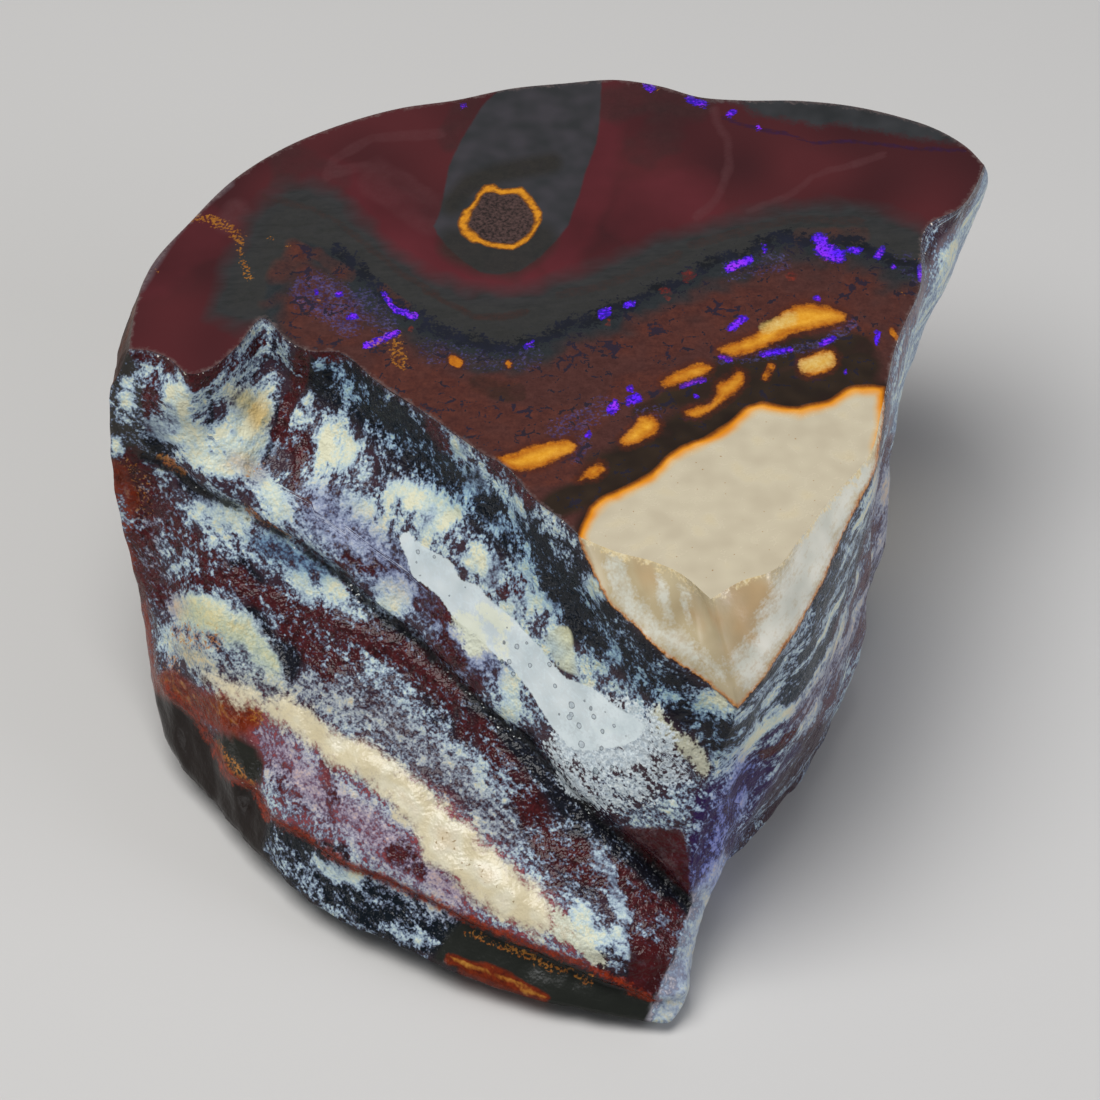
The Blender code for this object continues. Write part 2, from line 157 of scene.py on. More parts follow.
FLAKES = (
    ((-36.0, 0.0, 34.5), 5.5, 0.7),
    ((-25.5, 0.5, 34.0), 6.5, 0.9),
    ((-30.5, -3.5, 31.5), 4.0, 0.5),
    ((-14.5, -8.5, 32.5), 6.0, 0.7),
    ((-13.5, -14.5, 27.5), 5.0, 0.5),
    ((-3.0, -21.5, 29.0), 7.5, 0.8),
    ((6.0, -32.0, 20.5), 6.0, 0.7),
    ((12.5, -37.0, 14.5), 4.0, 0.5),
    ((-37.5, -6.0, 20.0), 5.5, 0.8),
    ((-28.0, -12.5, 20.0), 5.0, 0.6),
    ((-17.0, -22.0, 18.0), 5.0, 0.5),
    ((-3.5, -34.0, 13.0), 5.0, 0.5),
    ((-31.0, -21.0, 12.5), 3.6, 0.5),
    ((11.5, -28.6, 38.0), 3.4, 0.5),
    ((21.0, -27.0, 28.0), 5.0, 0.5),
    ((29.0, -10.5, 31.0), 5.5, 0.5),
    ((17.5, -29.5, 17.5), 4.0, 0.6),
)

# Where the stone is seen from: millimetres from the aim point, down at this tilt.
AIM = (-0.85, -2.6, 21.0)
DISTANCE = 450.0
TILT = math.radians(45.0)
FRAME_PX = 1100
PX_PER_RADIAN = 4500.0
# Way in which streaks run, and how much longer than wide: front, flank, polished face.
FLOWS = (((0.70, -0.50, -0.50), 2.6), ((0.47, 0.87, 0.12), 6.0), ((1.0, 0.1, 0.0), 3.5))

# Markings as outlines and strokes in picture points, laid on the stone along its line
# of sight.  A stroke is how much, how wide, and the points that it runs through.
CREAM_BLOCK = (
    (579, 538), (584, 522), (592, 508), (606, 497), (629, 487), (652, 474), (670, 457), (682, 448),
    (698, 443), (716, 433), (732, 422), (748, 409), (762, 405), (780, 408), (799, 410), (812, 406),
    (831, 401), (845, 392), (858, 388), (884, 388), (883, 419), (876, 467), (850, 518), (820, 585),
    (799, 625), (764, 676), (738, 707), (704, 679), (659, 650), (637, 626), (608, 602), (592, 570))
EGG = (
    (504, 84), (482, 106), (461, 140), (449, 166), (445, 187), (440, 211), (433, 226), (437, 235),
    (447, 247), (464, 262), (482, 273), (499, 275), (520, 271), (540, 257), (557, 240), (568, 226),
    (576, 204), (585, 175), (595, 149), (600, 123), (602, 80), (600, 60), (520, 60))
RING = (
    (490, 188), (501, 192), (516, 191), (521, 190), (525, 195), (533, 206), (539, 214), (538, 223),
    (532, 233), (526, 239), (513, 247), (499, 246), (488, 244), (475, 238), (464, 230), (463, 224),
    (467, 214), (475, 204), (479, 195), (485, 188), (490, 188))
RING_BANDS = (
    (1.0, 3.4, RING), (1.0, 6.0, ((475, 238), (465, 231), (463, 223), (467, 214))),
    (1.0, 4.6, ((485, 189), (493, 188))), (1.0, 5.0, ((520, 191), (528, 199), (538, 213), (538, 220))))
HALO = (
    (0.9, 34, ((500, 218),)), (1.0, 13, ((452, 205), (470, 184), (495, 174), (525, 168), (552, 163))),
    (0.8, 20, ((455, 245), (480, 258), (510, 262), (540, 240))))
WAVE = (
    (205, 318), (212, 287), (223, 259), (242, 236), (244, 218), (258, 199), (281, 183), (311, 178),
    (338, 190), (361, 211), (377, 231), (396, 248), (418, 262), (441, 275), (464, 285), (487, 287),
    (516, 288), (533, 284), (551, 277), (573, 271), (594, 262), (619, 252), (645, 240), (671, 232),
    (700, 225), (735, 214), (782, 204), (823, 200), (864, 204), (894, 212), (915, 221), (940, 236),
    (940, 330), (500, 400), (262, 330), (235, 330))
CRACKLE = (
    (262, 300), (268, 272), (281, 257), (290, 243), (304, 238), (320, 245), (334, 250), (347, 259),
    (368, 280), (379, 291), (391, 303), (405, 312), (421, 317), (428, 326), (453, 335), (470, 340),
    (487, 346), (508, 348), (526, 343), (543, 337), (561, 328), (573, 323), (592, 316), (607, 311),
    (629, 305), (645, 295), (654, 288), (676, 283), (698, 272), (711, 260), (749, 255), (762, 243),
    (782, 238), (811, 241), (855, 241), (868, 252), (884, 254), (894, 263), (925, 268), (1000, 300),
    (900, 520), (600, 600), (300, 420), (262, 322))
DARK_LINE = CRACKLE[6:39]
LENSES = (
    ((718, 349), (734, 342), (755, 335), (767, 324), (780, 314), (796, 305), (812, 304), (831, 307),
     (847, 315), (845, 321), (831, 326), (812, 329), (790, 334), (767, 346), (751, 353), (734, 356),
     (721, 353)),
    ((661, 381), (675, 373), (689, 366), (702, 363), (712, 368), (707, 374), (691, 379), (675, 385),
     (663, 387)),
    ((684, 412), (698, 407), (711, 404), (717, 395), (717, 384), (730, 378), (738, 370), (745, 374),
     (744, 384), (735, 393), (723, 402), (711, 411), (698, 417), (688, 416)),
    ((620, 439), (633, 427), (640, 417), (652, 415), (660, 424), (655, 434), (639, 442), (624, 446)),
    ((800, 360), (812, 354), (829, 350), (837, 356), (835, 366), (824, 373), (808, 376), (799, 371)),
    ((497, 457), (516, 453), (527, 447), (550, 442), (570, 440), (577, 445), (571, 453), (556, 459),
     (546, 466), (531, 469), (517, 471), (505, 466)),
    ((577, 480), (589, 467), (602, 463), (605, 470), (595, 478)),
)
LENS_SPECKS = (
    (0.5, 6, ((453, 360), (458, 363))), (0.5, 4, ((508, 363), (509, 366))),
    (0.35, 5, ((766, 377), (771, 366))), (0.5, 6, ((829, 414), (832, 420))),
    (0.5, 6, ((866, 393), (882, 398))), (0.4, 4, ((892, 330), (896, 338))),
)
LENS_HEARTS = ((1.0, 9, ((766, 328), (792, 318))), (1.0, 10, ((806, 366), (828, 360))))
RUST_ZONES = (
    (0.9, 13, ((588, 428), (604, 410), (625, 384), (656, 376))),
    (0.8, 14, ((520, 478), (560, 474), (574, 468))), (0.8, 9, ((851, 322), (872, 334), (880, 345))),
    (0.7, 12, ((718, 345), (770, 314), (812, 297), (850, 308))), (0.9, 13, ((276, 275), (297, 250))),
    (0.7, 8, ((318, 254), (350, 277))), (0.6, 7, ((383, 290), (405, 308))),
    (0.7, 18, ((385, 368), (415, 392), (450, 420))), (0.75, 17, ((415, 375), (450, 392), (475, 400))),
    (0.6, 24, ((440, 400), (500, 430), (560, 425))), (0.5, 10, ((802, 235), (860, 236))),
    (0.5, 10, ((484, 379), (512, 378))), (0.6, 30, ((640, 340), (700, 320), (760, 300))),
    (0.5, 18, ((860, 285), (885, 310))), (0.35, 20, ((280, 312), (315, 325), (350, 328))),
)
DARK_MUD = (
    (0.9, 30, ((600, 480), (650, 450), (700, 425), (745, 395), (800, 388), (860, 368))),
    (0.9, 18, ((555, 505), (590, 490))), (0.8, 22, ((680, 392), (745, 370), (790, 350), (860, 350))),
    (0.4, 11, ((478, 384), (500, 392), (517, 392))), (0.7, 10, ((640, 412), (668, 398))),
)
BLUE_HAZE = (
    (0.55, 24, ((310, 292), (330, 300), (348, 314))),
    (0.5, 7, ((721, 359), (760, 355), (790, 350), (815, 346), (834, 336), (852, 324))),
    (0.4, 14, ((366, 300), (385, 325))), (0.4, 12, ((556, 428), (585, 420), (600, 405))),
    (0.35, 12, ((730, 270), (780, 262))), (0.4, 12, ((905, 262), (925, 275))),
    (0.4, 9, ((575, 455), (585, 440))), (0.3, 14, ((430, 350), (480, 358), (530, 356))),
    (0.35, 8, ((640, 414), (658, 412))),
)
VIOLETS = (
    (1.0, 4.5, ((365, 345), (380, 341), (398, 333))), (1.0, 9, ((820, 240), (822, 250), (838, 255))),
    (1.0, 5, ((728, 269), (740, 264), (750, 260))), (1.0, 5, ((731, 328), (743, 319))),
    (1.0, 4, ((817, 298),)), (1.0, 5, ((631, 388),)), (1.0, 6, ((630, 402), (637, 397))),
    (1.0, 6, ((610, 410), (614, 406))), (0.8, 4, ((588, 436),)), (0.8, 4, ((695, 397),)),
    (0.8, 3.5, ((705, 379), (682, 386))), (0.8, 4, ((876, 332), (877, 342))), (0.6, 3, ((846, 373),)),
    (0.7, 5, ((601, 314), (608, 311))), (0.7, 4, ((625, 306), (632, 303))),
    (0.9, 5, ((851, 249), (857, 250))), (0.9, 5, ((877, 256), (882, 249))), (0.7, 4, ((894, 267),)),
    (1.0, 5, ((922, 266), (922, 277))), (0.9, 4, ((315, 292),)), (0.9, 5, ((339, 295),)),
    (0.7, 4, ((349, 318), (354, 316))), (0.8, 4, ((382, 293), (396, 311), (416, 318))),
    (0.6, 3.5, ((764, 254), (763, 246))), (0.9, 4, ((728, 114), (733, 113))), (0.9, 4, ((758, 128),)),
    (0.7, 5, ((646, 86), (652, 89))), (0.6, 5, ((690, 98), (702, 104))), (0.6, 4, ((527, 345), (533, 343))),
    (0.6, 5, ((464, 106),)), (0.8, 4, ((721, 357), (730, 360))), (0.8, 4, ((762, 354), (790, 350))),
    (0.7, 4, ((820, 343), (832, 337))),
)
OCHRE_TRAIL = (
    (0.8, 8, ((183, 216), (205, 219), (220, 222), (230, 229), (238, 241))),
    (0.7, 5, ((238, 241), (242, 262), (245, 276))), (0.9, 4, ((273, 238),)), (0.9, 4, ((289, 246),)),
    (0.7, 10, ((400, 340), (401, 365))), (0.7, 6, ((384, 341), (372, 343))), (0.8, 4, ((661, 88),)),
    (0.7, 3, ((911, 257), (923, 259))), (0.6, 3, ((901, 292),)), (0.9, 4, ((316, 301),)),
    (0.6, 4, ((150, 262), (158, 270))),
)
RED_SPOTS = (
    (0.9, 5, ((411, 328),)), (0.8, 7, ((686, 277), (692, 274))), (0.7, 7, ((792, 276),)),
    (0.7, 5, ((607, 322),)), (0.6, 6, ((664, 290), (668, 296))),
)
PALE_ARCS = (
    (0.5, 5, ((326, 176), (335, 160), (372, 138), (441, 134))),
    (0.4, 5, ((333, 172), (368, 167), (407, 179), (428, 192))),
    (0.7, 5, ((713, 110), (717, 125), (727, 139), (729, 162), (725, 182), (715, 200), (697, 218))),
    (0.6, 3.5, ((884, 155), (854, 164), (831, 170), (811, 178), (794, 192), (772, 204), (748, 211))),
    (0.9, 12, ((226, 224), (238, 209))), (0.35, 4, ((335, 200), (328, 230), (322, 250))),
    (0.3, 20, ((380, 180), (430, 215))),
)
SMOKE = (
    (0.8, 22, ((612, 105), (640, 96), (690, 104))), (0.5, 22, ((640, 150), (670, 130))),
    (0.6, 16, ((470, 100), (450, 140))), (0.5, 26, ((290, 165), (330, 185))),
)
BROWN_STREAKS = (
    (0.8, 4, ((425, 291), (450, 304), (474, 317), (503, 317), (527, 313))),
    (0.5, 4, ((262, 195), (300, 205), (340, 222), (372, 250), (400, 272), (440, 296))),
    (0.5, 5, ((690, 246), (740, 232), (800, 218), (860, 222))),
    (0.4, 5, ((560, 296), (620, 280), (680, 256))),
)
GREY_EDGE = (
    (690, 40), (700, 99), (737, 102), (747, 111), (766, 117), (786, 121), (802, 121), (819, 127),
    (831, 123), (854, 128), (874, 132), (905, 137), (925, 141), (951, 144), (1000, 140), (1000, 60))
PLUM_LINE = (
    (0.8, 3,
     ((721, 117), (758, 129), (794, 135), (811, 143), (843, 141), (884, 145), (921, 150), (966, 151))),
)
# Chipped bevel at the back left; its lighter colour is a painted highlight.
BEVEL_HIGHLIGHT = ((0.9, 11, ((138, 285), (160, 248), (181, 220), (203, 199), (226, 181))),)

# Outline of the glassy flake; its pale colour is a painted reflection of the softbox glare.
GLARE_POOL = (
    (399, 543), (400, 534), (409, 530), (415, 541), (434, 551), (447, 558), (455, 567), (460, 580),
    (479, 585), (487, 597), (501, 608), (514, 618), (526, 633), (541, 648), (551, 661), (565, 677),
    (584, 684), (600, 693), (613, 704), (632, 715), (648, 726), (651, 742), (637, 760), (613, 768),
    (592, 766), (573, 755), (565, 742), (551, 726), (541, 709), (530, 691), (517, 675), (509, 664),
    (490, 651), (479, 637), (460, 624), (450, 613), (439, 597), (426, 586), (412, 576), (407, 557))
CRACK_LINE = (
    (146, 458), (176, 472), (195, 487), (231, 506), (273, 532), (299, 545), (325, 566), (346, 581),
    (367, 602), (412, 636), (451, 678), (482, 707), (499, 721), (524, 739), (561, 778), (600, 822),
    (648, 861), (689, 905))
CREAM_SEAM = (
    (205, 672), (222, 680), (244, 690), (262, 698), (290, 699), (305, 706), (320, 715), (338, 733),
    (363, 739), (393, 761), (418, 780), (441, 803), (478, 833), (500, 858), (516, 876),
    (539, 894), (556, 908), (552, 930), (540, 934), (520, 926), (494, 912), (464, 893), (446, 877),
    (425, 854), (416, 828), (395, 819), (386, 803), (368, 782), (340, 769), (322, 760), (304, 742),
    (278, 726), (270, 714), (240, 706), (220, 696))
SEAM_TAIL = (
    (556, 902), (580, 925), (610, 955), (606, 970), (592, 966), (560, 945), (545, 930))
CREAM_STREAK = (
    (659, 704), (675, 726), (691, 734), (707, 752), (713, 775), (703, 779), (686, 760), (672, 745),
    (658, 741), (648, 722), (646, 708))
CURD = (
    (1.0, 15, ((464, 622), (476, 645))), (0.9, 10, ((484, 610), (506, 624))),
    (0.5, 8, ((500, 640), (503, 656))),
)
SHIELD = ((541, 637), (559, 625), (570, 627), (577, 664), (582, 680), (557, 668))
CREAM_PATCHES = (
    (1.0, 15, ((177, 392), (178, 420), (196, 440))),
    (1.0, 13, ((151, 426), (176, 440), (205, 456), (224, 470))), (1.0, 22, ((248, 402), (247, 425))),
    (1.0, 18, ((225, 440), (240, 462))), (0.9, 17, ((250, 445), (262, 440))),
    (1.0, 13, ((324, 436), (331, 455))), (1.0, 12, ((352, 446), (347, 465))),
    (0.9, 14, ((345, 498), (366, 508))), (1.0, 17, ((396, 492), (425, 500), (450, 512))),
    (1.0, 13, ((424, 525), (440, 518))), (0.95, 15, ((272, 490), (276, 510))),
    (0.9, 17, ((208, 508), (238, 522))), (0.9, 10, ((300, 578), (306, 596))),
    (0.9, 10, ((326, 588), (342, 596))), (1.0, 16, ((388, 602), (406, 600))),
    (0.8, 12, ((384, 582), (400, 590))), (1.0, 9, ((455, 448), (464, 452))),
    (0.9, 15, ((472, 474), (480, 488))), (1.0, 15, ((470, 560), (495, 566), (488, 580))),
    (1.0, 8, ((525, 574),)), (0.95, 10, ((512, 606), (535, 599), (554, 604))),
    (1.0, 13, ((463, 636), (482, 652))), (0.9, 13, ((507, 680), (512, 712))),
    (0.9, 11, ((586, 588), (598, 596))), (0.9, 8, ((612, 652), (616, 662))),
    (0.8, 10, ((492, 520), (505, 535))), (0.7, 8, ((518, 502), (522, 520))),
    (0.7, 8, ((694, 690), (722, 706))), (1.0, 20, ((185, 612), (215, 615), (245, 632))),
    (0.9, 18, ((255, 645), (270, 668))), (0.7, 14, ((170, 640), (205, 660))),
    (0.9, 10, ((597, 855), (615, 885), (627, 915))), (0.9, 10, ((659, 922),)),
    (0.8, 14, ((580, 915), (600, 942))), (0.8, 12, ((622, 940), (626, 952))),
    (0.9, 12, ((322, 867), (352, 876))), (0.7, 8, ((392, 932), (420, 936))),
    (1.0, 6, ((790, 711), (765, 728), (746, 747))), (0.6, 12, ((480, 770), (500, 788))),
    (0.5, 12, ((320, 690), (345, 705))), (0.7, 8, ((126, 385), (128, 405))),
    (0.7, 7, ((116, 445), (118, 452))), (0.6, 10, ((230, 520), (210, 545))),
    (0.7, 12, ((600, 735), (640, 715))),
)
FROST = (
    (0.85, 22, ((330, 500), (350, 520), (375, 540))), (0.62, 26, ((262, 345), (265, 372))),
    (0.6, 26, ((165, 375), (190, 395), (200, 430))), (0.75, 30, ((235, 385), (265, 400))),
    (0.95, 26, ((215, 440), (245, 455), (255, 470))), (0.7, 36, ((310, 470), (360, 490), (410, 540))),
    (0.66, 34, ((300, 520), (350, 545), (390, 565))), (0.5, 40, ((330, 385), (370, 430), (410, 460))),
    (0.7, 26, ((320, 430), (370, 470), (400, 480))), (0.4, 24, ((440, 450), (500, 500), (560, 560))),
    (0.6, 18, ((470, 490), (515, 530), (540, 560))),
    (0.75, 26, ((460, 545), (510, 590), (560, 640), (590, 660))),
    (0.7, 28, ((430, 590), (480, 650), (520, 710))), (0.66, 24, ((560, 625), (590, 650), (625, 690))),
    (0.42, 18, ((610, 640), (660, 680), (715, 730))), (0.78, 26, ((205, 510), (225, 530), (240, 545))),
    (0.6, 20, ((160, 510), (180, 520))), (0.66, 24, ((165, 555), (180, 580), (215, 560))),
    (0.62, 26, ((265, 545), (300, 560), (325, 575))), (0.7, 24, ((295, 590), (345, 600), (380, 610))),
    (1.0, 24, ((195, 612), (235, 630), (270, 660), (280, 680))),
    (0.66, 26, ((180, 640), (220, 665), (260, 690), (290, 700))),
    (0.66, 32, ((310, 675), (350, 705), (385, 730))), (0.6, 24, ((372, 665), (400, 690), (440, 750))),
    (0.66, 30, ((460, 760), (500, 790), (540, 830))), (0.5, 28, ((400, 745), (440, 790), (480, 830))),
    (0.45, 34, ((400, 660), (440, 710), (470, 740))), (0.62, 30, ((590, 780), (640, 795), (672, 800))),
    (0.8, 18, ((290, 745), (330, 775), (365, 800), (400, 825))),
    (0.85, 34, ((275, 775), (340, 822), (400, 862), (440, 895))),
    (0.48, 18, ((560, 905), (590, 935), (612, 955))), (0.3, 24, ((540, 850), (590, 890), (625, 950))),
    (0.55, 14, ((275, 845), (285, 862), (298, 872))), (0.1, 16, ((330, 880), (400, 905), (440, 925))),
    (0.7, 7, ((365, 925), (400, 938), (440, 944))), (0.5, 8, ((300, 885), (340, 912))),
    (0.5, 28, ((480, 820), (530, 860))), (0.55, 12, ((128, 380), (125, 420))),
    (0.5, 20, ((700, 690), (735, 725))), (0.5, 30, ((140, 500), (150, 560))),
    (1.0, 9, ((872, 470), (866, 500), (858, 528))), (0.75, 9, ((850, 545), (840, 590), (822, 640))),
    (0.7, 7, ((812, 610), (790, 665), (766, 700))),
    (0.85, 5, ((868, 560), (850, 612), (832, 652), (806, 696))),
    (0.9, 7, ((792, 712), (765, 728), (740, 758))), (0.6, 9, ((722, 765), (760, 735))),
    (0.65, 9, ((716, 800), (724, 830), (712, 870))), (0.55, 9, ((745, 790), (738, 815))),
    (1.1, 10, ((890, 470), (884, 500))), (1.2, 12, ((705, 900), (686, 950), (668, 1000))),
)
# Dark blue-black matrix; the strokes that follow below the crack also paint the shadow beneath its step.
SHADE = (
    (0.9, 14, ((372, 378), (395, 405), (430, 450), (460, 480))),
    (0.55, 30, ((330, 370), (360, 390), (400, 440))),
    (0.85, 22, ((495, 505), (545, 560), (585, 620), (600, 640))),
    (0.6, 24, ((600, 620), (650, 670), (720, 735))), (0.8, 12, ((360, 594), (385, 620), (430, 660))),
    (0.75, 16, ((430, 665), (480, 715), (523, 745))),
    (1.0, 17, ((510, 745), (560, 795), (603, 832), (640, 868), (688, 908))),
    (0.45, 22, ((440, 700), (500, 760), (560, 830))), (0.9, 13, ((236, 565), (255, 580))),
    (1.0, 9, ((251, 611), (281, 647), (290, 679))), (1.0, 12, ((290, 640), (296, 664))),
    (0.9, 12, ((305, 840), (345, 858))), (1.0, 14, ((150, 432), (160, 446), (168, 452))),
    (0.6, 20, ((610, 960), (650, 990))), (0.8, 9, ((180, 478), (215, 505))),
    (0.6, 14, ((390, 470), (460, 470), (500, 485))), (0.4, 22, ((520, 800), (560, 850), (590, 880))),
    (0.9, 5, ((206, 392), (208, 410), (211, 437))), (0.8, 4, ((272, 396), (275, 438), (262, 462))),
    (0.6, 12, ((262, 345), (240, 372))),
)
MAROON = (
    (0.8, 10, ((140, 352), (180, 372), (192, 384), (240, 365), (258, 345))),
    (1.0, 10, ((303, 350), (301, 372), (297, 392), (284, 412), (279, 432))),
    (0.75, 16, ((290, 432), (302, 460), (304, 497))), (0.8, 8, ((149, 376), (150, 424))),
    (0.7, 14, ((162, 400), (170, 425))), (0.95, 18, ((132, 462), (143, 486), (142, 530), (150, 590))),
    (0.75, 16, ((160, 500), (175, 530), (215, 565))), (1.0, 12, ((160, 598), (190, 584), (222, 580))),
    (1.0, 15, ((235, 578), (262, 598), (298, 608), (325, 619), (352, 630), (398, 652))),
    (0.85, 18, ((376, 640), (420, 665), (450, 700))), (0.75, 20, ((470, 730), (510, 780), (545, 830))),
    (0.85, 22, ((550, 845), (575, 860), (600, 870))), (0.95, 26, ((640, 950), (665, 975))),
    (0.8, 22, ((600, 870), (640, 900), (670, 935))), (0.5, 20, ((440, 430), (480, 450), (530, 490))),
    (0.55, 10, ((345, 560), (395, 572))), (0.6, 16, ((425, 600), (450, 615))),
    (0.5, 12, ((320, 350), (340, 352))), (0.45, 10, ((325, 765), (332, 800))),
    (0.4, 14, ((275, 768), (290, 800), (330, 830))), (0.8, 16, ((290, 630), (320, 648), (350, 660))),
    (0.8, 8, ((165, 690), (200, 700))), (0.6, 18, ((440, 650), (470, 680))),
    (0.5, 16, ((490, 590), (520, 590))), (1.0, 7, ((792, 737), (765, 757))),
    (0.7, 14, ((395, 850), (420, 870))), (0.8, 12, ((310, 660), (330, 680))),
    (0.8, 10, ((545, 880), (552, 886))),
)
FLAT_RED = (
    ((612, 829), (640, 826), (684, 828), (691, 860), (691, 898), (668, 880), (640, 858)),
    ((630, 945), (672, 943), (664, 975), (654, 997), (626, 985)),
)
OCHRE = (
    (0.9, 6, ((158, 459), (175, 466), (185, 472))), (0.8, 4, ((244, 509), (270, 528), (287, 536))),
    (0.5, 14, ((182, 634), (215, 640))), (0.55, 5, ((466, 934), (512, 948), (540, 964), (592, 982))),
    (0.7, 7, ((218, 741), (226, 760), (238, 774), (249, 785))),
    (0.3, 12, ((129, 467), (139, 484), (140, 510))), (0.6, 5, ((258, 466), (248, 476))),
    (0.5, 8, ((170, 655), (172, 690))), (0.35, 10, ((440, 800), (470, 835))),
    (0.6, 14, ((225, 700), (258, 716))),
)
AMBER = (
    (1.25, 6, ((449, 960), (489, 971), (519, 984), (545, 997))),
    (0.45, 9, ((466, 972), (510, 992), (530, 1000))), (0.75, 16, ((168, 684), (195, 702), (235, 716))),
    (0.6, 8, ((120, 470), (132, 500))),
)
FOOT_EDGE = (
    (161, 684), (194, 712), (213, 743), (228, 776), (256, 789), (268, 817), (304, 835), (347, 865),
    (381, 878), (432, 901), (490, 929), (542, 948), (595, 969), (634, 990), (655, 998))
# White specks painted as glints along the crack, the ridge and other edges.
GLINTS = (
    (0.9, 7, ((437, 668), (470, 695), (499, 722), (521, 741))),
    (0.7, 6, ((545, 765), (566, 784), (600, 820))), (0.8, 6, ((270, 540), (325, 566))),
    (0.8, 7, ((352, 588), (380, 612))), (0.7, 20, ((585, 785), (640, 805))),
    (0.6, 5, ((288, 340), (310, 347), (340, 352))), (0.7, 6, ((352, 352), (358, 362))),
    (0.7, 6, ((560, 515), (574, 528))), (0.6, 5, ((180, 479), (231, 508))),
    (0.6, 4, ((228, 778), (256, 790))),
)

# Cast of the bleached opal, and how far its grain is hushed: hex, hush, reach, points.
CASTS = (
    ("#cfe4f2", 0.0, 40, ((330, 370), (420, 450), (500, 520), (600, 640), (720, 735))),
    ("#e2d8ee", 0.45, 46, ((320, 510), (370, 550), (430, 590), (480, 660))),
    ("#f0c4cc", 0.25, 44, ((262, 740), (320, 795), (390, 845), (460, 895))),
    ("#e4d6d2", 0.1, 42, ((300, 690), (380, 715), (440, 770), (500, 830))),
    ("#ece4c8", 0.65, 30, ((195, 612), (235, 630), (270, 662))),
    ("#e6d2c0", 0.2, 24, ((185, 650), (230, 680), (280, 695))),
    ("#f6d8a8", 0.3, 22, ((240, 396), (260, 418))),
    ("#f0dcd8", 0.6, 18, ((232, 462), (258, 474))),
    ("#b4d2e8", 0.5, 22, ((262, 546), (290, 555), (322, 572))),
    ("#e4c8c8", 0.0, 20, ((150, 500), (150, 570), (175, 610))),
    ("#b8b0f4", 0.1, 34, ((748, 775), (722, 820), (700, 880))),
    ("#efe8f0", 0.5, 30, ((710, 900), (690, 960), (670, 1010))),
    ("#e8d4dc", 0.1, 20, ((885, 470), (880, 560), (850, 640), (800, 720))),
)

# Raised lips and sunk furrows of the broken faces: height in mm, half width, points.
CREASES = (
    (-0.5, 7.0, CRACK_LINE),
    (0.4, 7.0,
     ((150, 606), (169, 592), (210, 579), (240, 588), (261, 597), (330, 619), (398, 651), (440, 682),
      (482, 715))),
    (-0.4, 6.0, ((303, 350), (301, 372), (297, 392), (284, 412), (279, 430), (274, 448), (251, 470))),
    (-0.3, 5.0, ((206, 385), (208, 405), (210, 437))), (-0.4, 9.0, ((150, 430), (160, 442), (168, 452))),
    (-0.35, 6.0, ((251, 613), (281, 647), (288, 679))),
    (0.3, 12.0, ((190, 605), (225, 622), (262, 655), (280, 680))),
    (0.25, 9.0, ((316, 440), (340, 455), (355, 470))), (0.25, 10.0, ((385, 490), (420, 505), (450, 530))),
    (0.3, 10.0, ((232, 395), (262, 410), (258, 430))), (-0.3, 8.0, ((245, 575), (262, 590))),
    (-0.9, 13.0, ((700, 598), (722, 592), (745, 575))), (0.5, 9.0, ((735, 622), (765, 585))),
)

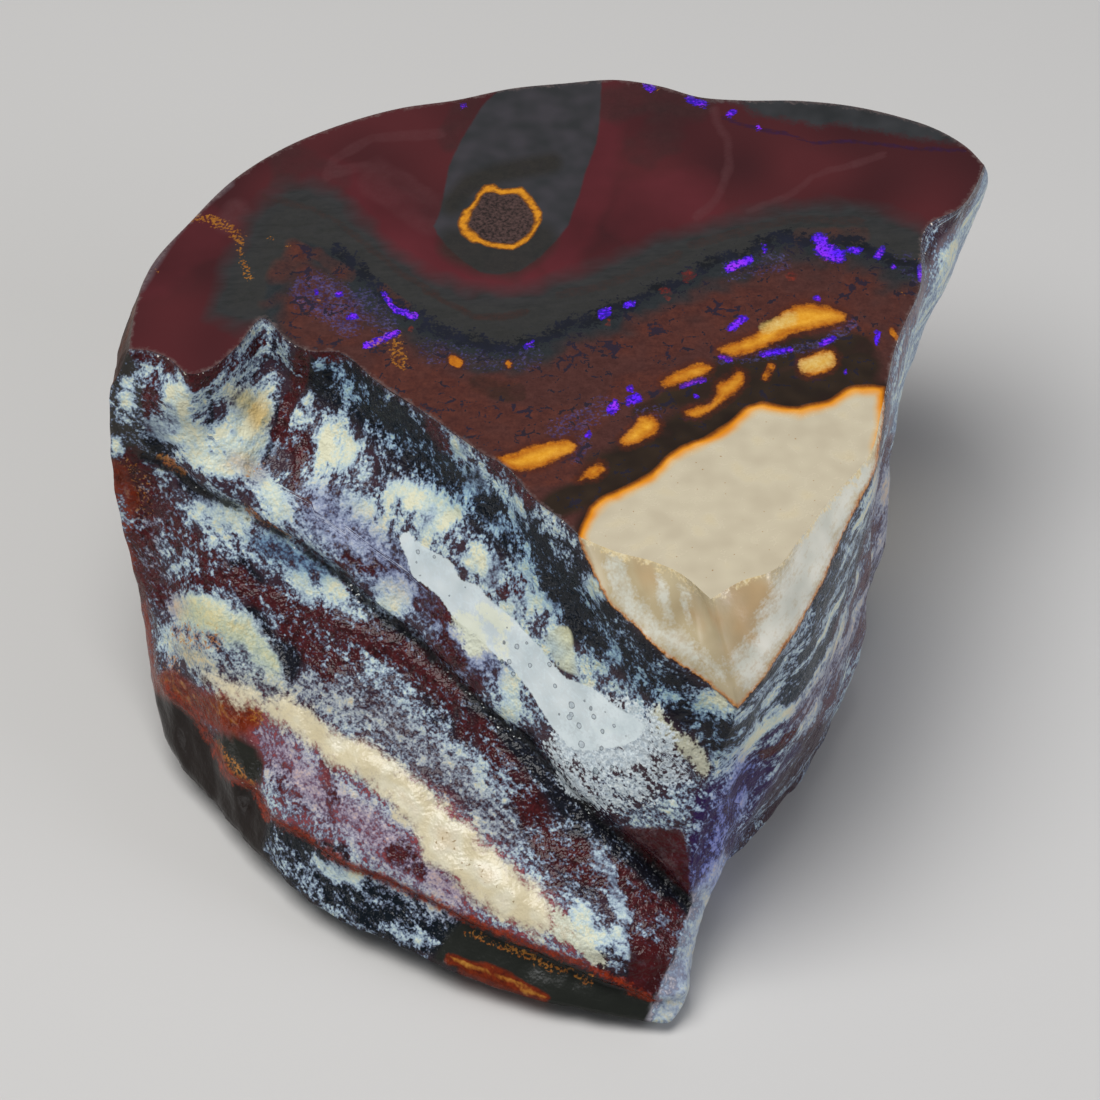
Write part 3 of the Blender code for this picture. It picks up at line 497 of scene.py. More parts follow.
# Ground of the broken faces: outline, edge softness in picture points, hex, then how
# much frost the region takes over or under the strokes, and its roughness.
GROUNDS = (
    (
     ((372, 375), (450, 440), (530, 500), (582, 545), (610, 605), (660, 655), (738, 708), (725, 745),
      (650, 700), (560, 620), (480, 540), (420, 480), (360, 430), (310, 400), (300, 350)), 14, "#121820",
     0.0, 0.2),
    (
     ((150, 690), (240, 690), (330, 725), (450, 800), (560, 900), (620, 970), (560, 958), (432, 899),
      (347, 862), (304, 832), (268, 812), (258, 789), (240, 740)), 8, "#87444a", 0.46, 0.22),
    (
     ((268, 817), (304, 837), (347, 867), (381, 880), (432, 903), (462, 918), (455, 937), (434, 957),
      (406, 952), (342, 922), (286, 886), (258, 850)), 4, "#0f161d", -0.05, 0.2),
    (
     ((464, 918), (489, 931), (558, 957), (615, 984), (655, 1001), (650, 1030), (604, 1020), (523, 1000),
      (430, 962), (450, 932)), 4, "#222420", -1.0, 0.3),
    (((217, 733), (240, 735), (258, 745), (266, 765), (262, 786), (245, 786), (228, 778), (211, 743)), 4,
     "#24241f", -1.0, 0.3),
    (((200, 700), (225, 697), (262, 712), (258, 728), (235, 736), (208, 724)), 5, "#7a2c12", -0.3, 0.35),
    (
     ((151, 680), (161, 684), (194, 713), (211, 745), (228, 778), (256, 791), (268, 819), (262, 850),
      (290, 889), (340, 925), (330, 945), (200, 830), (130, 740)), 4, "#170d08", -1.0, 0.3),
    (
     ((738, 703), (764, 676), (800, 625), (820, 585), (850, 518), (876, 465), (872, 521), (861, 553),
      (842, 614), (826, 663), (791, 716), (749, 748), (727, 772), (709, 782)), 3, "#28323b", 0.12, 0.2),
    (
     ((876, 440), (920, 440), (920, 520), (883, 545), (872, 566), (865, 593), (880, 650), (825, 720),
      (788, 745), (791, 716), (826, 663), (842, 614), (861, 553), (870, 521)), 3, "#5a434c", 0.34, 0.25),
    (
     ((711, 780), (727, 770), (749, 748), (791, 716), (800, 750), (770, 790), (732, 850), (712, 900),
      (692, 895), (690, 840), (693, 800)), 4, "#2c1846", 0.2, 0.25),
    # pale lilac lobe low on the right: pale frost, lighter still as a painted glare
    (
     ((724, 850), (735, 870), (712, 911), (712, 936), (704, 990), (690, 1030), (646, 1030), (652, 1001),
      (669, 966), (685, 920), (694, 893)), 3, "#b4b1ba", 0.85, 0.28),
    (
     ((893, 330), (928, 263), (960, 222), (976, 197), (990, 168), (1010, 175), (990, 260), (940, 350),
      (915, 420), (898, 440), (884, 440), (886, 400)), 3, "#7d6e74", 0.3, 0.3),
    # pale blue-white strip along the right rim: a painted grazing reflection
    (
     ((982, 186), (990, 160), (1003, 170), (985, 220), (965, 262), (942, 315), (922, 365), (905, 420),
      (894, 440), (894, 400), (902, 368), (914, 330), (930, 290), (948, 250), (968, 215)), 2, "#8fa6bd",
     0.72, 0.2),
    (((110, 340), (130, 345), (148, 400), (165, 455), (135, 460), (112, 470), (100, 400)), 4, "#34322f",
     0.2, 0.25),
    (((105, 460), (128, 460), (137, 520), (148, 600), (158, 690), (140, 690), (105, 480)), 4, "#7a3426",
     -0.1, 0.3),
)
GROUND_START = ("#3b2a33", 0.28, 0.2)
CREAM_TANS = (
    (0.9, 26, ((735, 575), (752, 600), (745, 650))), (0.7, 10, ((690, 605), (722, 625))),
    (0.6, 12, ((650, 585), (640, 560))), (0.5, 9, ((668, 640), (700, 655))),
    (0.4, 14, ((800, 500), (830, 480))),
)
# Chalky mottles of the cream block; the long first stroke whitens its right facet as painted light, since
# that side faces the light.
CREAM_CHALK_AND_LIT_FACET = (
    (1.1, 26, ((852, 470), (826, 520), (800, 585), (770, 640), (752, 668))),
    (0.8, 9, ((622, 590), (630, 610))), (0.8, 8, ((662, 582), (664, 600))),
    (0.85, 24, ((625, 618), (655, 640), (685, 660))), (0.7, 12, ((612, 560), (625, 600))),
    (0.7, 14, ((690, 655), (720, 672))), (0.6, 8, ((684, 590), (688, 606))),
)
# White specks where the flake's painted reflection breaks up at its lower end.
GLARE_TAIL = (
    (1.2, 26, ((572, 742), (592, 760), (625, 758), (645, 742))),
    (1.0, 16, ((600, 700), (640, 715), (665, 738))),
    (0.7, 22, ((575, 775), (610, 795), (650, 785), (672, 770))),
    (0.9, 10, ((551, 742), (572, 775), (590, 790))),
)
RED_GLOW = (
    (0.8, 30, ((330, 185), (395, 222), (430, 266), (470, 290), (520, 290))),
    (0.8, 24, ((600, 130), (590, 200), (560, 262))), (0.5, 34, ((640, 210), (690, 200))),
    (0.4, 30, ((150, 270), (200, 230))),
)
POOL_PITS = (
    (1.0, 40, ((575, 700), (600, 740), (590, 760))), (0.7, 34, ((520, 650), (550, 680))),
    (0.5, 26, ((430, 562), (450, 585))),
)

# Fine relief of the dense mesh, as height in mm, cell in mm and seed of each cloud.
FRACTURE_GRAIN = ((0.15, 1.9, 1), (0.08, 0.9, 2))
SKIN_BARK = ((0.22, 3.5, 3), (0.12, 1.6, 4), (0.05, 0.8, 5))
SEAM_SWELL = 0.25
SEAM_CLOUD = ((0.9, 2.0, 10),)
SEAM_EDGE = (0.2, 0.8)
RELIEF_FADE = 1.5
# Faces that lie calm: outline, reach past it, softness, both in steps of ten picture points,
# and how much of the fine relief they lose.
STILLED = ((GLARE_POOL, 1.2, 1.6, 0.97), (CREAM_BLOCK, 0.0, 0.4, 0.6))
POOL_PRESS = (3.0, 3.2)

# Distances to an outline are kept in steps of this many picture points.
STEP_PX = 10.0
STROKE_RISE = 1.7

# Wander of the markings across and down the picture, as sums of clouds, and how many
# picture points it comes to where an edge is soft, loose or torn, or on one marking.
WAVER = (((1.0, 2.2, 6), (0.5, 1.0, 7)), ((1.0, 2.2, 8), (0.5, 1.0, 9)))
TEAR = (((1.0, 0.9, 11),), ((1.0, 0.9, 12),))
SOFT_WANDER = 2.0
LOOSE_WANDER = 5.0
TORN_WANDER = 4.0
BLOCK_WANDER = 0.8
EGG_WANDER = 0.6
RING_WANDER = 0.5
# Deepest step kept inside the cream block, and what stands for far outside it.
BLOCK_DEPTH = 1.5
FAR_OUT = -9.0
SPECK_DROP = 0.25
# The slanting line in the picture right of which the flank begins: slope and a point on it.
CORNER_LINE = (0.7, 700.0, 780.0)
# The painted reflection on the glassy flake breaks up past a slanting line at its lower end, and its edge is
# jagged.
POOL_END = (0.25, 900.0, 12.0, 3.0)
POOL_JAG = (0.8, 6.0, 740.0, 25.0)

# Shade and maroon dim the frost, and cream patches bring it back.
DIM = 0.8
FROST_SHARE = 0.82
FROST_CUT = 0.14
LEVEL_DROP = 0.3
PATCH_WIDEN = 1.15
CREAM_RISE = (0.3, 0.85)
CREAM_DIM = (0.4, 0.6)
PATCH_HUSH = (0.6, 2.5, 0.55)
VEINS = (1.15, 0.25)
# Levels past which a pale ground hides maroon and shade.
PALE_LEVEL = (6.0, 0.55, 2.0)

# Strokes kept as cover: the field's name, how its edge wanders, and the strokes.
STROKE_FIELDS = (
    ("halo", "plain", HALO), ("brown_streak", "soft", BROWN_STREAKS), ("lens_heart", "plain", LENS_HEARTS),
    ("rust", "soft", RUST_ZONES), ("mud", "soft", DARK_MUD), ("glow", "loose", RED_GLOW),
    ("violet", "soft", VIOLETS), ("blue_haze", "soft", BLUE_HAZE), ("ochre_trail", "loose", OCHRE_TRAIL),
    ("red_spot", "soft", RED_SPOTS), ("pale_arc", "soft", PALE_ARCS), ("smoke", "loose", SMOKE),
    ("plum", "soft", PLUM_LINE), ("bevel", "plain", BEVEL_HIGHLIGHT), ("curd", "soft", CURD),
    ("ochre", "loose", OCHRE), ("glints", "loose", GLINTS), ("amber", "soft", AMBER),
    ("pool_pits", "plain", POOL_PITS), ("pool_tail", "loose", GLARE_TAIL),
)


def back_arc(start, end, grow, mid_height):
    """Rim arc grown about the hub, bent at both ends to meet the given points."""
    rim = np.array(RIM_BACK)
    run = np.concatenate(([0.0], np.cumsum(np.linalg.norm(np.diff(rim, axis=0), axis=1))))
    u = (run / run[-1])[:, None]
    plan = np.array(SKIN_HUB) + grow * (rim - np.array(SKIN_HUB))
    arc = np.hstack((plan, np.full_like(u, mid_height)))
    head = np.array(start) - arc[0]
    tail = np.array(end) - arc[-1]
    return arc + (1.0 - u) ** 2 * head + u ** 2 * tail


def smooth_run(points, weights, count):
    """Even stations along the smooth curve through the points, last one left out."""
    p = np.asarray(points, float)
    step = np.linalg.norm(np.diff(p, axis=0) * weights, axis=1)
    knot = np.concatenate(([0.0], np.cumsum(step)))
    slope = np.empty_like(p)
    chord = np.diff(p, axis=0) / step[:, None]
    before, after = step[:-1, None], step[1:, None]
    slope[1:-1] = (chord[:-1] * after + chord[1:] * before) / (before + after)
    slope[0], slope[-1] = chord[0], chord[-1]
    at = np.linspace(0.0, knot[-1], count + 1)[:-1]
    i = np.clip(np.searchsorted(knot, at, side="right") - 1, 0, len(step) - 1)
    h = step[i][:, None]
    t = ((at - knot[i]) / step[i])[:, None]
    a, b = p[i], p[i + 1]
    return ((2 * t ** 3 - 3 * t ** 2 + 1) * a + (t ** 3 - 2 * t ** 2 + t) * h * slope[i]
            + (3 * t ** 2 - 2 * t ** 3) * b + (t ** 3 - t ** 2) * h * slope[i + 1])


def ring(section, grow, mid_height, columns):
    """Closed ring of one section: four measured spans and the worked-out back arc."""
    corner = section[4]
    starts = [span[0] for span in section[:4]] + [corner]
    spans = [list(section[k]) + [starts[k + 1]] for k in range(4)]
    spans.append(back_arc(corner, section[0][0], grow, mid_height))
    return np.vstack([smooth_run(s, w, n) for s, w, n in zip(spans, SPAN_WEIGHTS, columns)])


def lumps(p, scale):
    """Smooth irregular field between about -1 and 1, from crossed slanting waves."""
    x, y, z = p[..., 0] / scale, p[..., 1] / scale, p[..., 2] / scale
    return (np.sin(1.0 * x + 2.1 * y + 0.7 * z + 0.4) * np.cos(1.7 * z - 0.9 * x + 1.3)
            + 0.6 * np.sin(2.9 * x - 1.4 * y + 2.2 * z) * np.cos(2.3 * y + 1.1 * z + 2.0)
            + 0.4 * np.sin(4.1 * z + 3.3 * x) * np.sin(3.7 * y - 2.0 * x + 0.8)) / 1.4


def cloud(p, cell, seed):
    """Value noise about -1 to 1: a hashed number at each corner of a cell lattice,
    blended across the cell by the smooth step of the place inside it."""
    q = p / cell + seed * 17.31
    low = np.floor(q).astype(np.int64)
    f = q - low
    f = f * f * (3.0 - 2.0 * f)
    total = np.zeros(p.shape[:-1])
    for corner in range(8):
        bits = np.array([(corner >> k) & 1 for k in range(3)])
        c = low + bits
        mixed = (c[..., 0] * 73856093) ^ (c[..., 1] * 19349663) ^ (c[..., 2] * 83492791)
        mixed = (mixed ^ (mixed >> 13)) * 1274126177
        value = ((mixed ^ (mixed >> 16)) & 65535) / 32767.5 - 1.0
        total += value * np.prod(np.where(bits, f, 1.0 - f), axis=-1)
    return total


def clouds(p, layers):
    """Clouds added up, each given as its height, its cell and its seed."""
    return sum(height * cloud(p, cell, seed) for height, cell, seed in layers)


def wander(p, axes):
    """Shift of each place in the picture: one sum of clouds across and one down."""
    return np.stack([clouds(p, layers) for layers in axes], axis=-1)


def wall_normals(grid):
    """Unit normals of the wall grid, along its columns crossed with along its rows."""
    along = np.roll(grid, -1, axis=1) - np.roll(grid, 1, axis=1)
    normal = np.cross(np.gradient(grid, axis=0), along)
    return normal / np.linalg.norm(normal, axis=2, keepdims=True)


def stone_wall(columns, rows):
    """Wall grid in mm: a loft down ten rings, straight on the broken faces and
    smooth on the skin, then dished by flakes and lumps except at rim and base."""
    rim3 = tuple([(x, y, HEIGHT) for x, y in span] for span in RIM) + ((*RIM_BACK[0], HEIGHT),)
    listed = (rim3, BEVEL, BAND, CRACK, VEIN, FOOT, TOE)
    arcs = ((1.0, HEIGHT),) + BACK_ARC
    rim, bevel, band, crack, vein, foot, toe = (
        ring(s, g, m, columns) for s, (g, m) in zip(listed, arcs))
    count = sum(columns)
    front = np.interp(np.arange(count), np.cumsum((0,) + columns[:3]), LEDGE_SHARES)
    front = front * np.minimum(1.0, np.arange(count) / (LEDGE_START * columns[0]))
    step = crack + np.outer(front, (*LEDGE_INSET, 0.0)) + np.array((0.0, 0.0, -LEDGE_DROP))
    under = foot + np.outer(front, (*FOOT_INSET, 0.0)) + np.array((0.0, 0.0, -FOOT_DROP))
    hub = np.array(BASE_HUB)
    out = toe[:, :2] - hub
    reach = np.linalg.norm(out, axis=1)
    inset = BASE_INSET + BASE_INSET_PER_MM * toe[:, 2]
    base = np.column_stack((hub + out * (1.0 - inset / reach)[:, None], np.zeros(count)))
    rings = np.array((rim, bevel, band, crack, step, vein, foot, under, toe, base))

    smooth = np.interp(np.arange(count), np.cumsum((0,) + columns), SPAN_SMOOTH)
    gap = np.linalg.norm(np.diff(rings, axis=0), axis=2)[..., None]
    chord = np.diff(rings, axis=0) / gap
    slope = np.empty_like(rings)
    slope[1:-1] = (chord[:-1] * gap[1:] + chord[1:] * gap[:-1]) / (gap[:-1] + gap[1:])
    slope[0], slope[-1] = chord[0], chord[-1]
    layers = []
    for k, n in enumerate(rows):
        for t in np.arange(n) / n:
            straight = (1 - t) * rings[k] + t * rings[k + 1]
            curved = ((2 * t ** 3 - 3 * t ** 2 + 1) * rings[k] + (3 * t ** 2 - 2 * t ** 3) * rings[k + 1]
                      + (t ** 3 - 2 * t ** 2 + t) * gap[k] * slope[k]
                      + (t ** 3 - t ** 2) * gap[k] * slope[k + 1])
            layers.append(straight + smooth[:, None] * (curved - straight))
    layers.append(rings[-1])
    grid = np.array(layers)

    normal = wall_normals(grid)
    drop = HEIGHT - grid[..., 2]
    free = np.clip(drop / RIM_FADE, 0.0, 1.0) * np.clip(grid[..., 2] / BASE_FADE, 0.0, 1.0)
    skin = np.clip((smooth - 0.5) / 0.5, 0.0, 1.0)
    move = free * (SKIN_LUMP * skin * lumps(grid, SKIN_LUMP_REACH)
                   + FRACTURE_LUMP * (1 - skin) * lumps(grid, FRACTURE_LUMP_REACH))
    for centre, radius, depth in FLAKES:
        away = np.linalg.norm(grid - np.array(centre), axis=2) / radius
        move = move - free * depth * np.clip(1.0 - away ** 2, 0.0, None)
    grid = grid + normal * move[..., None]
    grid[..., :2] -= np.array(CENTRE)
    return grid, skin


def sight(p):
    """Picture point of each place in mm, along the fixed line of sight."""
    c, s = math.cos(TILT), math.sin(TILT)
    rel = p - np.array(AIM) + DISTANCE * np.array((0.0, c, -s))
    depth = rel[..., 1] * c - rel[..., 2] * s
    up = rel[..., 1] * s + rel[..., 2] * c
    x = FRAME_PX / 2 + PX_PER_RADIAN * rel[..., 0] / depth
    return np.stack((x, FRAME_PX / 2 - PX_PER_RADIAN * up / depth), axis=-1)


def on_flank(uv):
    """Whether each picture point lies right of the slanting corner line."""
    slope, x, y = CORNER_LINE
    return (uv[..., 0] - x) * slope - (uv[..., 1] - y) > 0.0


def to_line(uv, points):
    """Least distance from each picture point to the broken line through the points."""
    p = np.asarray(points, float)
    best = np.linalg.norm(uv - p[0], axis=-1)
    for a, b in zip(p[:-1], p[1:]):
        ab = b - a
        t = np.clip(((uv - a) @ ab) / max(ab @ ab, 1e-9), 0.0, 1.0)
        best = np.minimum(best, np.linalg.norm(uv - a - t[..., None] * ab, axis=-1))
    return best


def within(uv, outline):
    """Distance to a closed outline in steps of picture points, positive inside it: the
    sign comes from how often a level line out from the point crosses the outline."""
    p = np.asarray(outline, float)
    odd = np.zeros(uv.shape[:-1], bool)
    for a, b in zip(p, np.roll(p, -1, axis=0)):
        if a[1] != b[1]:
            across = (uv[..., 1] < a[1]) != (uv[..., 1] < b[1])
            x = a[0] + (uv[..., 1] - a[1]) / (b[1] - a[1]) * (b[0] - a[0])
            odd ^= across & (uv[..., 0] < x)
    away = to_line(uv, np.vstack((p, p[:1]))) / STEP_PX
    return np.where(odd, away, -away)


def stroked(uv, strokes, widen=1.0):
    """Cover of a set of strokes: each gives its amount along its middle, falls through
    nothing at its radius to -1 farther out, and the greatest counts."""
    cover = np.full(uv.shape[:-1], -1.0)
    for amount, radius, points in strokes:
        near = to_line(uv, points) / (widen * radius)
        cover = np.maximum(cover, np.minimum(STROKE_RISE * (1.0 - near), amount))
    return cover


def linear(hexcode):
    """Linear RGBA of an sRGB hex colour."""
    part = [int(hexcode[k:k + 2], 16) / 255.0 for k in (1, 3, 5)]
    return [v / 12.92 if v < 0.04045 else ((v + 0.055) / 1.055) ** 2.4 for v in part] + [1.0]


def eased(x, edge):
    """Smooth step from 0 at -edge to 1 at +edge."""
    t = np.clip(x / (2.0 * edge) + 0.5, 0.0, 1.0)
    return t * t * (3.0 - 2.0 * t)


def ground_of(uv):
    """Ground colour, frost level and roughness, region laid over region."""
    hexcode, *levels = GROUND_START
    table = np.broadcast_to(np.array(linear(hexcode)[:3] + levels), uv.shape[:-1] + (5,)).copy()
    for outline, edge, hexcode, *levels in GROUNDS:
        share = eased(within(uv, outline), edge / STEP_PX)[..., None]
        table += share * (np.array(linear(hexcode)[:3] + levels) - table)
    return table


def casts_of(uv):
    """Tint of the bleached opal and the hush of its grain, cast laid over cast."""
    table = np.broadcast_to(np.array([1.0, 1.0, 1.0, 0.0]), uv.shape[:-1] + (4,)).copy()
    for hexcode, hush, reach, points in CASTS:
        share = eased(0.5 * reach - to_line(uv, points), 0.5 * reach)[..., None]
        table += share * (np.array(linear(hexcode)[:3] + [hush]) - table)
    return table


def flatten_pool(grid, uv):
    """Presses the glassy flake to one plane: its points move along the plane's normal
    to the best plane through them, fading out over the flake's edge."""
    inside = within(uv, GLARE_POOL)
    core = grid[inside > 0.0]
    middle = core.mean(axis=0)
    normal = np.linalg.svd(core - middle, full_matrices=False)[2][2]
    normal = normal if normal[2] > 0 else -normal
    off = (grid - middle) @ normal
    share = eased(inside + POOL_PRESS[0], POOL_PRESS[1])
    return grid - (share * off)[..., None] * normal, normal, middle


def top_grid(rim):
    """Polished face between the rim's four sides: each place is the two ruled
    surfaces added, less the one through the four corners."""
    a = SPAN_COLUMNS[0] + SPAN_COLUMNS[1]
    b = SPAN_COLUMNS[2] + SPAN_COLUMNS[3]
    near = rim[:a + 1]
    right = rim[a:a + b + 1]
    far = rim[a + b:a + b + a + 1][::-1]
    left = np.vstack((rim[a + b + a:], rim[:1]))[::-1]
    u = np.linspace(0.0, 1.0, a + 1)[None, :, None]
    v = np.linspace(0.0, 1.0, b + 1)[:, None, None]
    return ((1 - v) * near[None] + v * far[None] + (1 - u) * left[:, None] + u * right[:, None]
            - (1 - u) * (1 - v) * near[0] - u * (1 - v) * near[-1] - (1 - u) * v * far[0] - u * v * far[-1])


def build_stone():
    """One closed mesh: wall grid, ruled top grid on the same rim points, flat base."""
    wall, skin = stone_wall(SPAN_COLUMNS, BAND_ROWS)
    levels, count, _ = wall.shape
    uv = sight(wall)
    wall, pool_normal, pool_middle = flatten_pool(wall, uv)
    normal = wall_normals(wall)
    height = wall[..., 2]
    free = np.clip((HEIGHT - height) / RELIEF_FADE, 0.0, 1.0) * np.clip(height / RELIEF_FADE, 0.0, 1.0)
    calm = 1.0
    for outline, reach, edge, share in STILLED:
        calm = calm * (1.0 - share * eased(within(uv, outline) + reach, edge))
    grain = (1 - skin) * clouds(wall, FRACTURE_GRAIN) + skin * clouds(wall, SKIN_BARK)
    seam = np.maximum(within(uv, CREAM_SEAM), within(uv, CREAM_STREAK))
    swell = SEAM_SWELL * eased(seam - SEAM_EDGE[0], SEAM_EDGE[1]) * (1.0 + clouds(wall, SEAM_CLOUD))
    relief = sum(lift * np.exp(-(to_line(uv, points) / width) ** 2) for lift, width, points in CREASES)
    move = free * (calm * grain + swell + (1 - skin) * relief)
    wall = wall + normal * move[..., None]

    rim = wall[0]
    top = top_grid(rim)
    high, wide, _ = top.shape
    a, b = wide - 1, high - 1
    number = np.full((high, wide), -1)
    number[0] = np.arange(a + 1)
    number[:, a] = a + np.arange(b + 1)
    number[b] = (a + b + np.arange(a + 1))[::-1]
    number[:, 0] = np.append(np.arange(a + b + a, count), 0)[::-1][:b + 1]
    inner = number < 0
    number[inner] = levels * count + np.arange(inner.sum())
    verts = np.vstack((wall.reshape(-1, 3), top[inner]))

    here = np.arange(count)
    there = np.roll(here, -1)
    start = (np.arange(levels - 1) * count)[:, None]
    wall_quads = np.stack((start + here, start + count + here, start + count + there, start + there), axis=-1)
    top_quads = np.stack((number[:-1, :-1], number[:-1, 1:], number[1:, 1:], number[1:, :-1]), axis=-1)
    quads = np.vstack((wall_quads.reshape(-1, 4), top_quads.reshape(-1, 4)))
    base = ((levels - 1) * count + here[::-1]).tolist()

    mesh = bpy.data.meshes.new("boulder_opal_stone")
    mesh.from_pydata((verts * 0.001).tolist(), [], quads.tolist() + [base])
    slots = np.concatenate((
        np.tile(np.where(here < sum(SPAN_COLUMNS[:4]), 1, 2), levels - 1),
        np.zeros(a * b, int), [2]))
    mesh.polygons.foreach_set("material_index", slots.astype(np.int32))
    smooth = np.ones(len(slots), bool)
    smooth[-1] = False
    mesh.polygons.foreach_set("use_smooth", smooth)
    mesh.update()
    edges = np.zeros(2 * len(mesh.edges), np.int32)
    mesh.edges.foreach_get("vertices", edges)
    ends = edges.reshape(-1, 2)
    crisp = (ends < count).all(axis=1) | (ends // count == levels - 1).all(axis=1)
    mesh.attributes.new("sharp_edge", "BOOLEAN", "EDGE").data.foreach_set("value", crisp)

    lay_fields(mesh, verts, sight(rim[::3]))
    stone = bpy.data.objects.new("boulder_opal_stone", mesh)
    bpy.context.scene.collection.objects.link(stone)
    return stone, pool_normal, pool_middle


def frosting(loose, torn, level, hush):
    """Frost cover, hush of its grain, and the maroon and shade covers: strokes or the
    ground's own level, dimmed by maroon and shade, or the cream patches if greater."""
    maroon = stroked(loose, MAROON)
    shade = stroked(loose, SHADE)
    dimmed = (1.0 - DIM * np.maximum(shade, 0.0)) * (1.0 - DIM * np.maximum(maroon, 0.0))
    patch = stroked(torn, CREAM_PATCHES, PATCH_WIDEN)
    cream = (CREAM_RISE[0] + CREAM_RISE[1] * patch) * (CREAM_DIM[0] + CREAM_DIM[1] * dimmed)
    frost = np.maximum(FROST_SHARE * stroked(loose, FROST), level) * dimmed
    frost = np.maximum(np.maximum(frost, level - LEVEL_DROP), cream)
    frost -= FROST_CUT * np.maximum(np.maximum(maroon, shade), 0.0)
    most, gain, start = PATCH_HUSH
    hush = np.maximum(hush, most * np.clip(gain * (patch - start), 0.0, 1.0))
    return frost, hush, maroon, shade


def lay_fields(mesh, verts, rim):
    """Stores where each marking lies on the stone, as distance in or as cover."""
    uv = sight(verts)
    waver = wander(verts, WAVER)
    loose = uv + LOOSE_WANDER * waver
    torn = loose + TORN_WANDER * wander(verts, TEAR)
    soft = uv + SOFT_WANDER * waver
    ground = ground_of(soft)
    casts = casts_of(loose)
    level = ground[..., 3]
    frost, hush, maroon, shade = frosting(loose, torn, level, casts[..., 3])
    bare = np.clip(-level, 0.0, 1.0)
    gain, start, most = PALE_LEVEL
    pale = np.clip(gain * (level - start), 0.0, most)
    block = np.minimum(within(uv + BLOCK_WANDER * waver, CREAM_BLOCK), BLOCK_DEPTH)
    edge = -to_line(uv, np.vstack((rim, rim[:1]))) / STEP_PX
    least, more, start, softness = POOL_JAG
    jag = least + more * eased(uv[..., 1:] - start, softness)
    slant, start, softness, cut = POOL_END
    pool_end = cut * eased(uv[..., 1] + slant * uv[..., 0] - start, softness)

    edges = {"plain": uv, "soft": soft, "loose": loose}
    fields = {name: stroked(edges[kind], strokes) for name, kind, strokes in STROKE_FIELDS}
    fields.update({
        "egg": within(uv + EGG_WANDER * waver, EGG),
        "ring": within(uv, RING),
        "ring_band": stroked(uv + RING_WANDER * waver, RING_BANDS),
        "wave": within(soft, WAVE),
        "crackle": within(soft, CRACKLE),
        "dark_line": -to_line(soft, DARK_LINE) / STEP_PX,
        "lens": np.maximum(np.max([within(uv, outline) for outline in LENSES], axis=0),
                           stroked(uv, LENS_SPECKS) - SPECK_DROP),
        "grey_edge": within(soft, GREY_EDGE),
        "rim": edge,
        "cream_block": block,
        # where a painted highlight runs along the cream block's crest
        "crest": np.where(block > 0.0, edge, FAR_OUT),
        "tan": np.minimum(stroked(loose, CREAM_TANS), 2.0 * block),
        "chalk": np.minimum(stroked(loose, CREAM_CHALK_AND_LIT_FACET), 2.0 * block),
        "pool": within(uv + jag * waver, GLARE_POOL) - pool_end,
        "shield": within(uv, SHIELD),
        "crack": -to_line(soft, CRACK_LINE) / STEP_PX,
        "foot_edge": -to_line(uv, FOOT_EDGE) / STEP_PX,
        "seam": within(torn, CREAM_SEAM),
        "seam_tail": np.maximum(within(loose, SEAM_TAIL), within(soft, CREAM_STREAK)),
        "flat_red": np.max([within(uv, outline) for outline in FLAT_RED], axis=0),
        "frost": frost - bare,
        "maroon": maroon - bare - pale,
        "shade": shade - 2.0 * bare - pale,
        "hush": hush,
        "veins": np.where(on_flank(uv), *VEINS),
        "gloss": ground[..., 4],
    })
    for name, values in fields.items():
        mesh.attributes.new(name, "FLOAT", "POINT").data.foreach_set("value", values.astype(np.float32))
    vectors = {"flow": flow_of(verts, uv), "ground": ground[..., :3], "cast": casts[..., :3]}
    for name, values in vectors.items():
        flat = np.ascontiguousarray(values, dtype=np.float32).ravel()
        mesh.attributes.new(name, "FLOAT_VECTOR", "POINT").data.foreach_set("vector", flat)


def flow_of(verts, uv):
    """Places in metres drawn together along the way the streaks run: along the bedding
    on the front, along the broken flank, and across on the polished face."""
    bedding, flank, across = FLOWS
    right = on_flank(uv)
    top = verts[..., 2:] > HEIGHT - 0.01
    way = np.where(right[..., None], np.array(flank[0]), np.array(bedding[0]))
    stretch = np.where(right, flank[1], bedding[1])[..., None]
    way = np.where(top, np.array(across[0]), way)
    stretch = np.where(top, across[1], stretch)
    way = way / np.linalg.norm(way, axis=-1, keepdims=True)
    along = np.sum(verts * way, axis=-1, keepdims=True)
    return (verts - along * way * (1.0 - 1.0 / stretch)) * 0.001


def add(tree, kind, links=None, out=0, **settings):
    """Adds a node with its settings, links or values, and returns one of its outputs."""
    made = tree.nodes.new(kind)
    for name, value in settings.items():
        setattr(made, name, value)
    for key, value in (links or {}).items():
        if isinstance(value, bpy.types.NodeSocket):
            tree.links.new(value, made.inputs[key])
        else:
            made.inputs[key].default_value = value
    return made.outputs[out]


# Grains of the stone: size in mm, octaves, roughness, and whether it follows the flow.
# The real powder of dust and grit is finer, and both are drawn as coarse as shows.
GRAINS = {
    "coarse": (9.0, 0.0, 0.5, False),
    "medium": (3.0, 1.0, 0.6, False),
    "speckle": (0.8, 2.0, 0.85, False),
    "streak": (0.9, 2.0, 0.85, True),
    "vein": (2.6, 1.0, 0.6, True),
    "grit": (0.3, 0.0, 0.5, False),
    "dust": (0.32, 1.0, 0.7, False),
}
# Patterns by their cells in a metre: crazing 1.5 mm, flake pits 1.1 mm, chips 0.9 mm and
# pits of the skin 1.4 mm apart.
CRAZE_CELLS = 650.0
FLAKE_PIT_CELLS = 900.0
CHIP_CELLS = 1100.0
SKIN_PIT_CELLS = 700.0
CRAZE_BEND = 0.0012
BUMP_DEPTH = 0.0004
STONE_INDEX = 1.5
OPAL_ROUGH = 0.38
FROST_GAIN = 2.35
FROST_FULL = 1.6
TONE_GAIN = 2.6
BASE_TONE_GAIN = 2.4


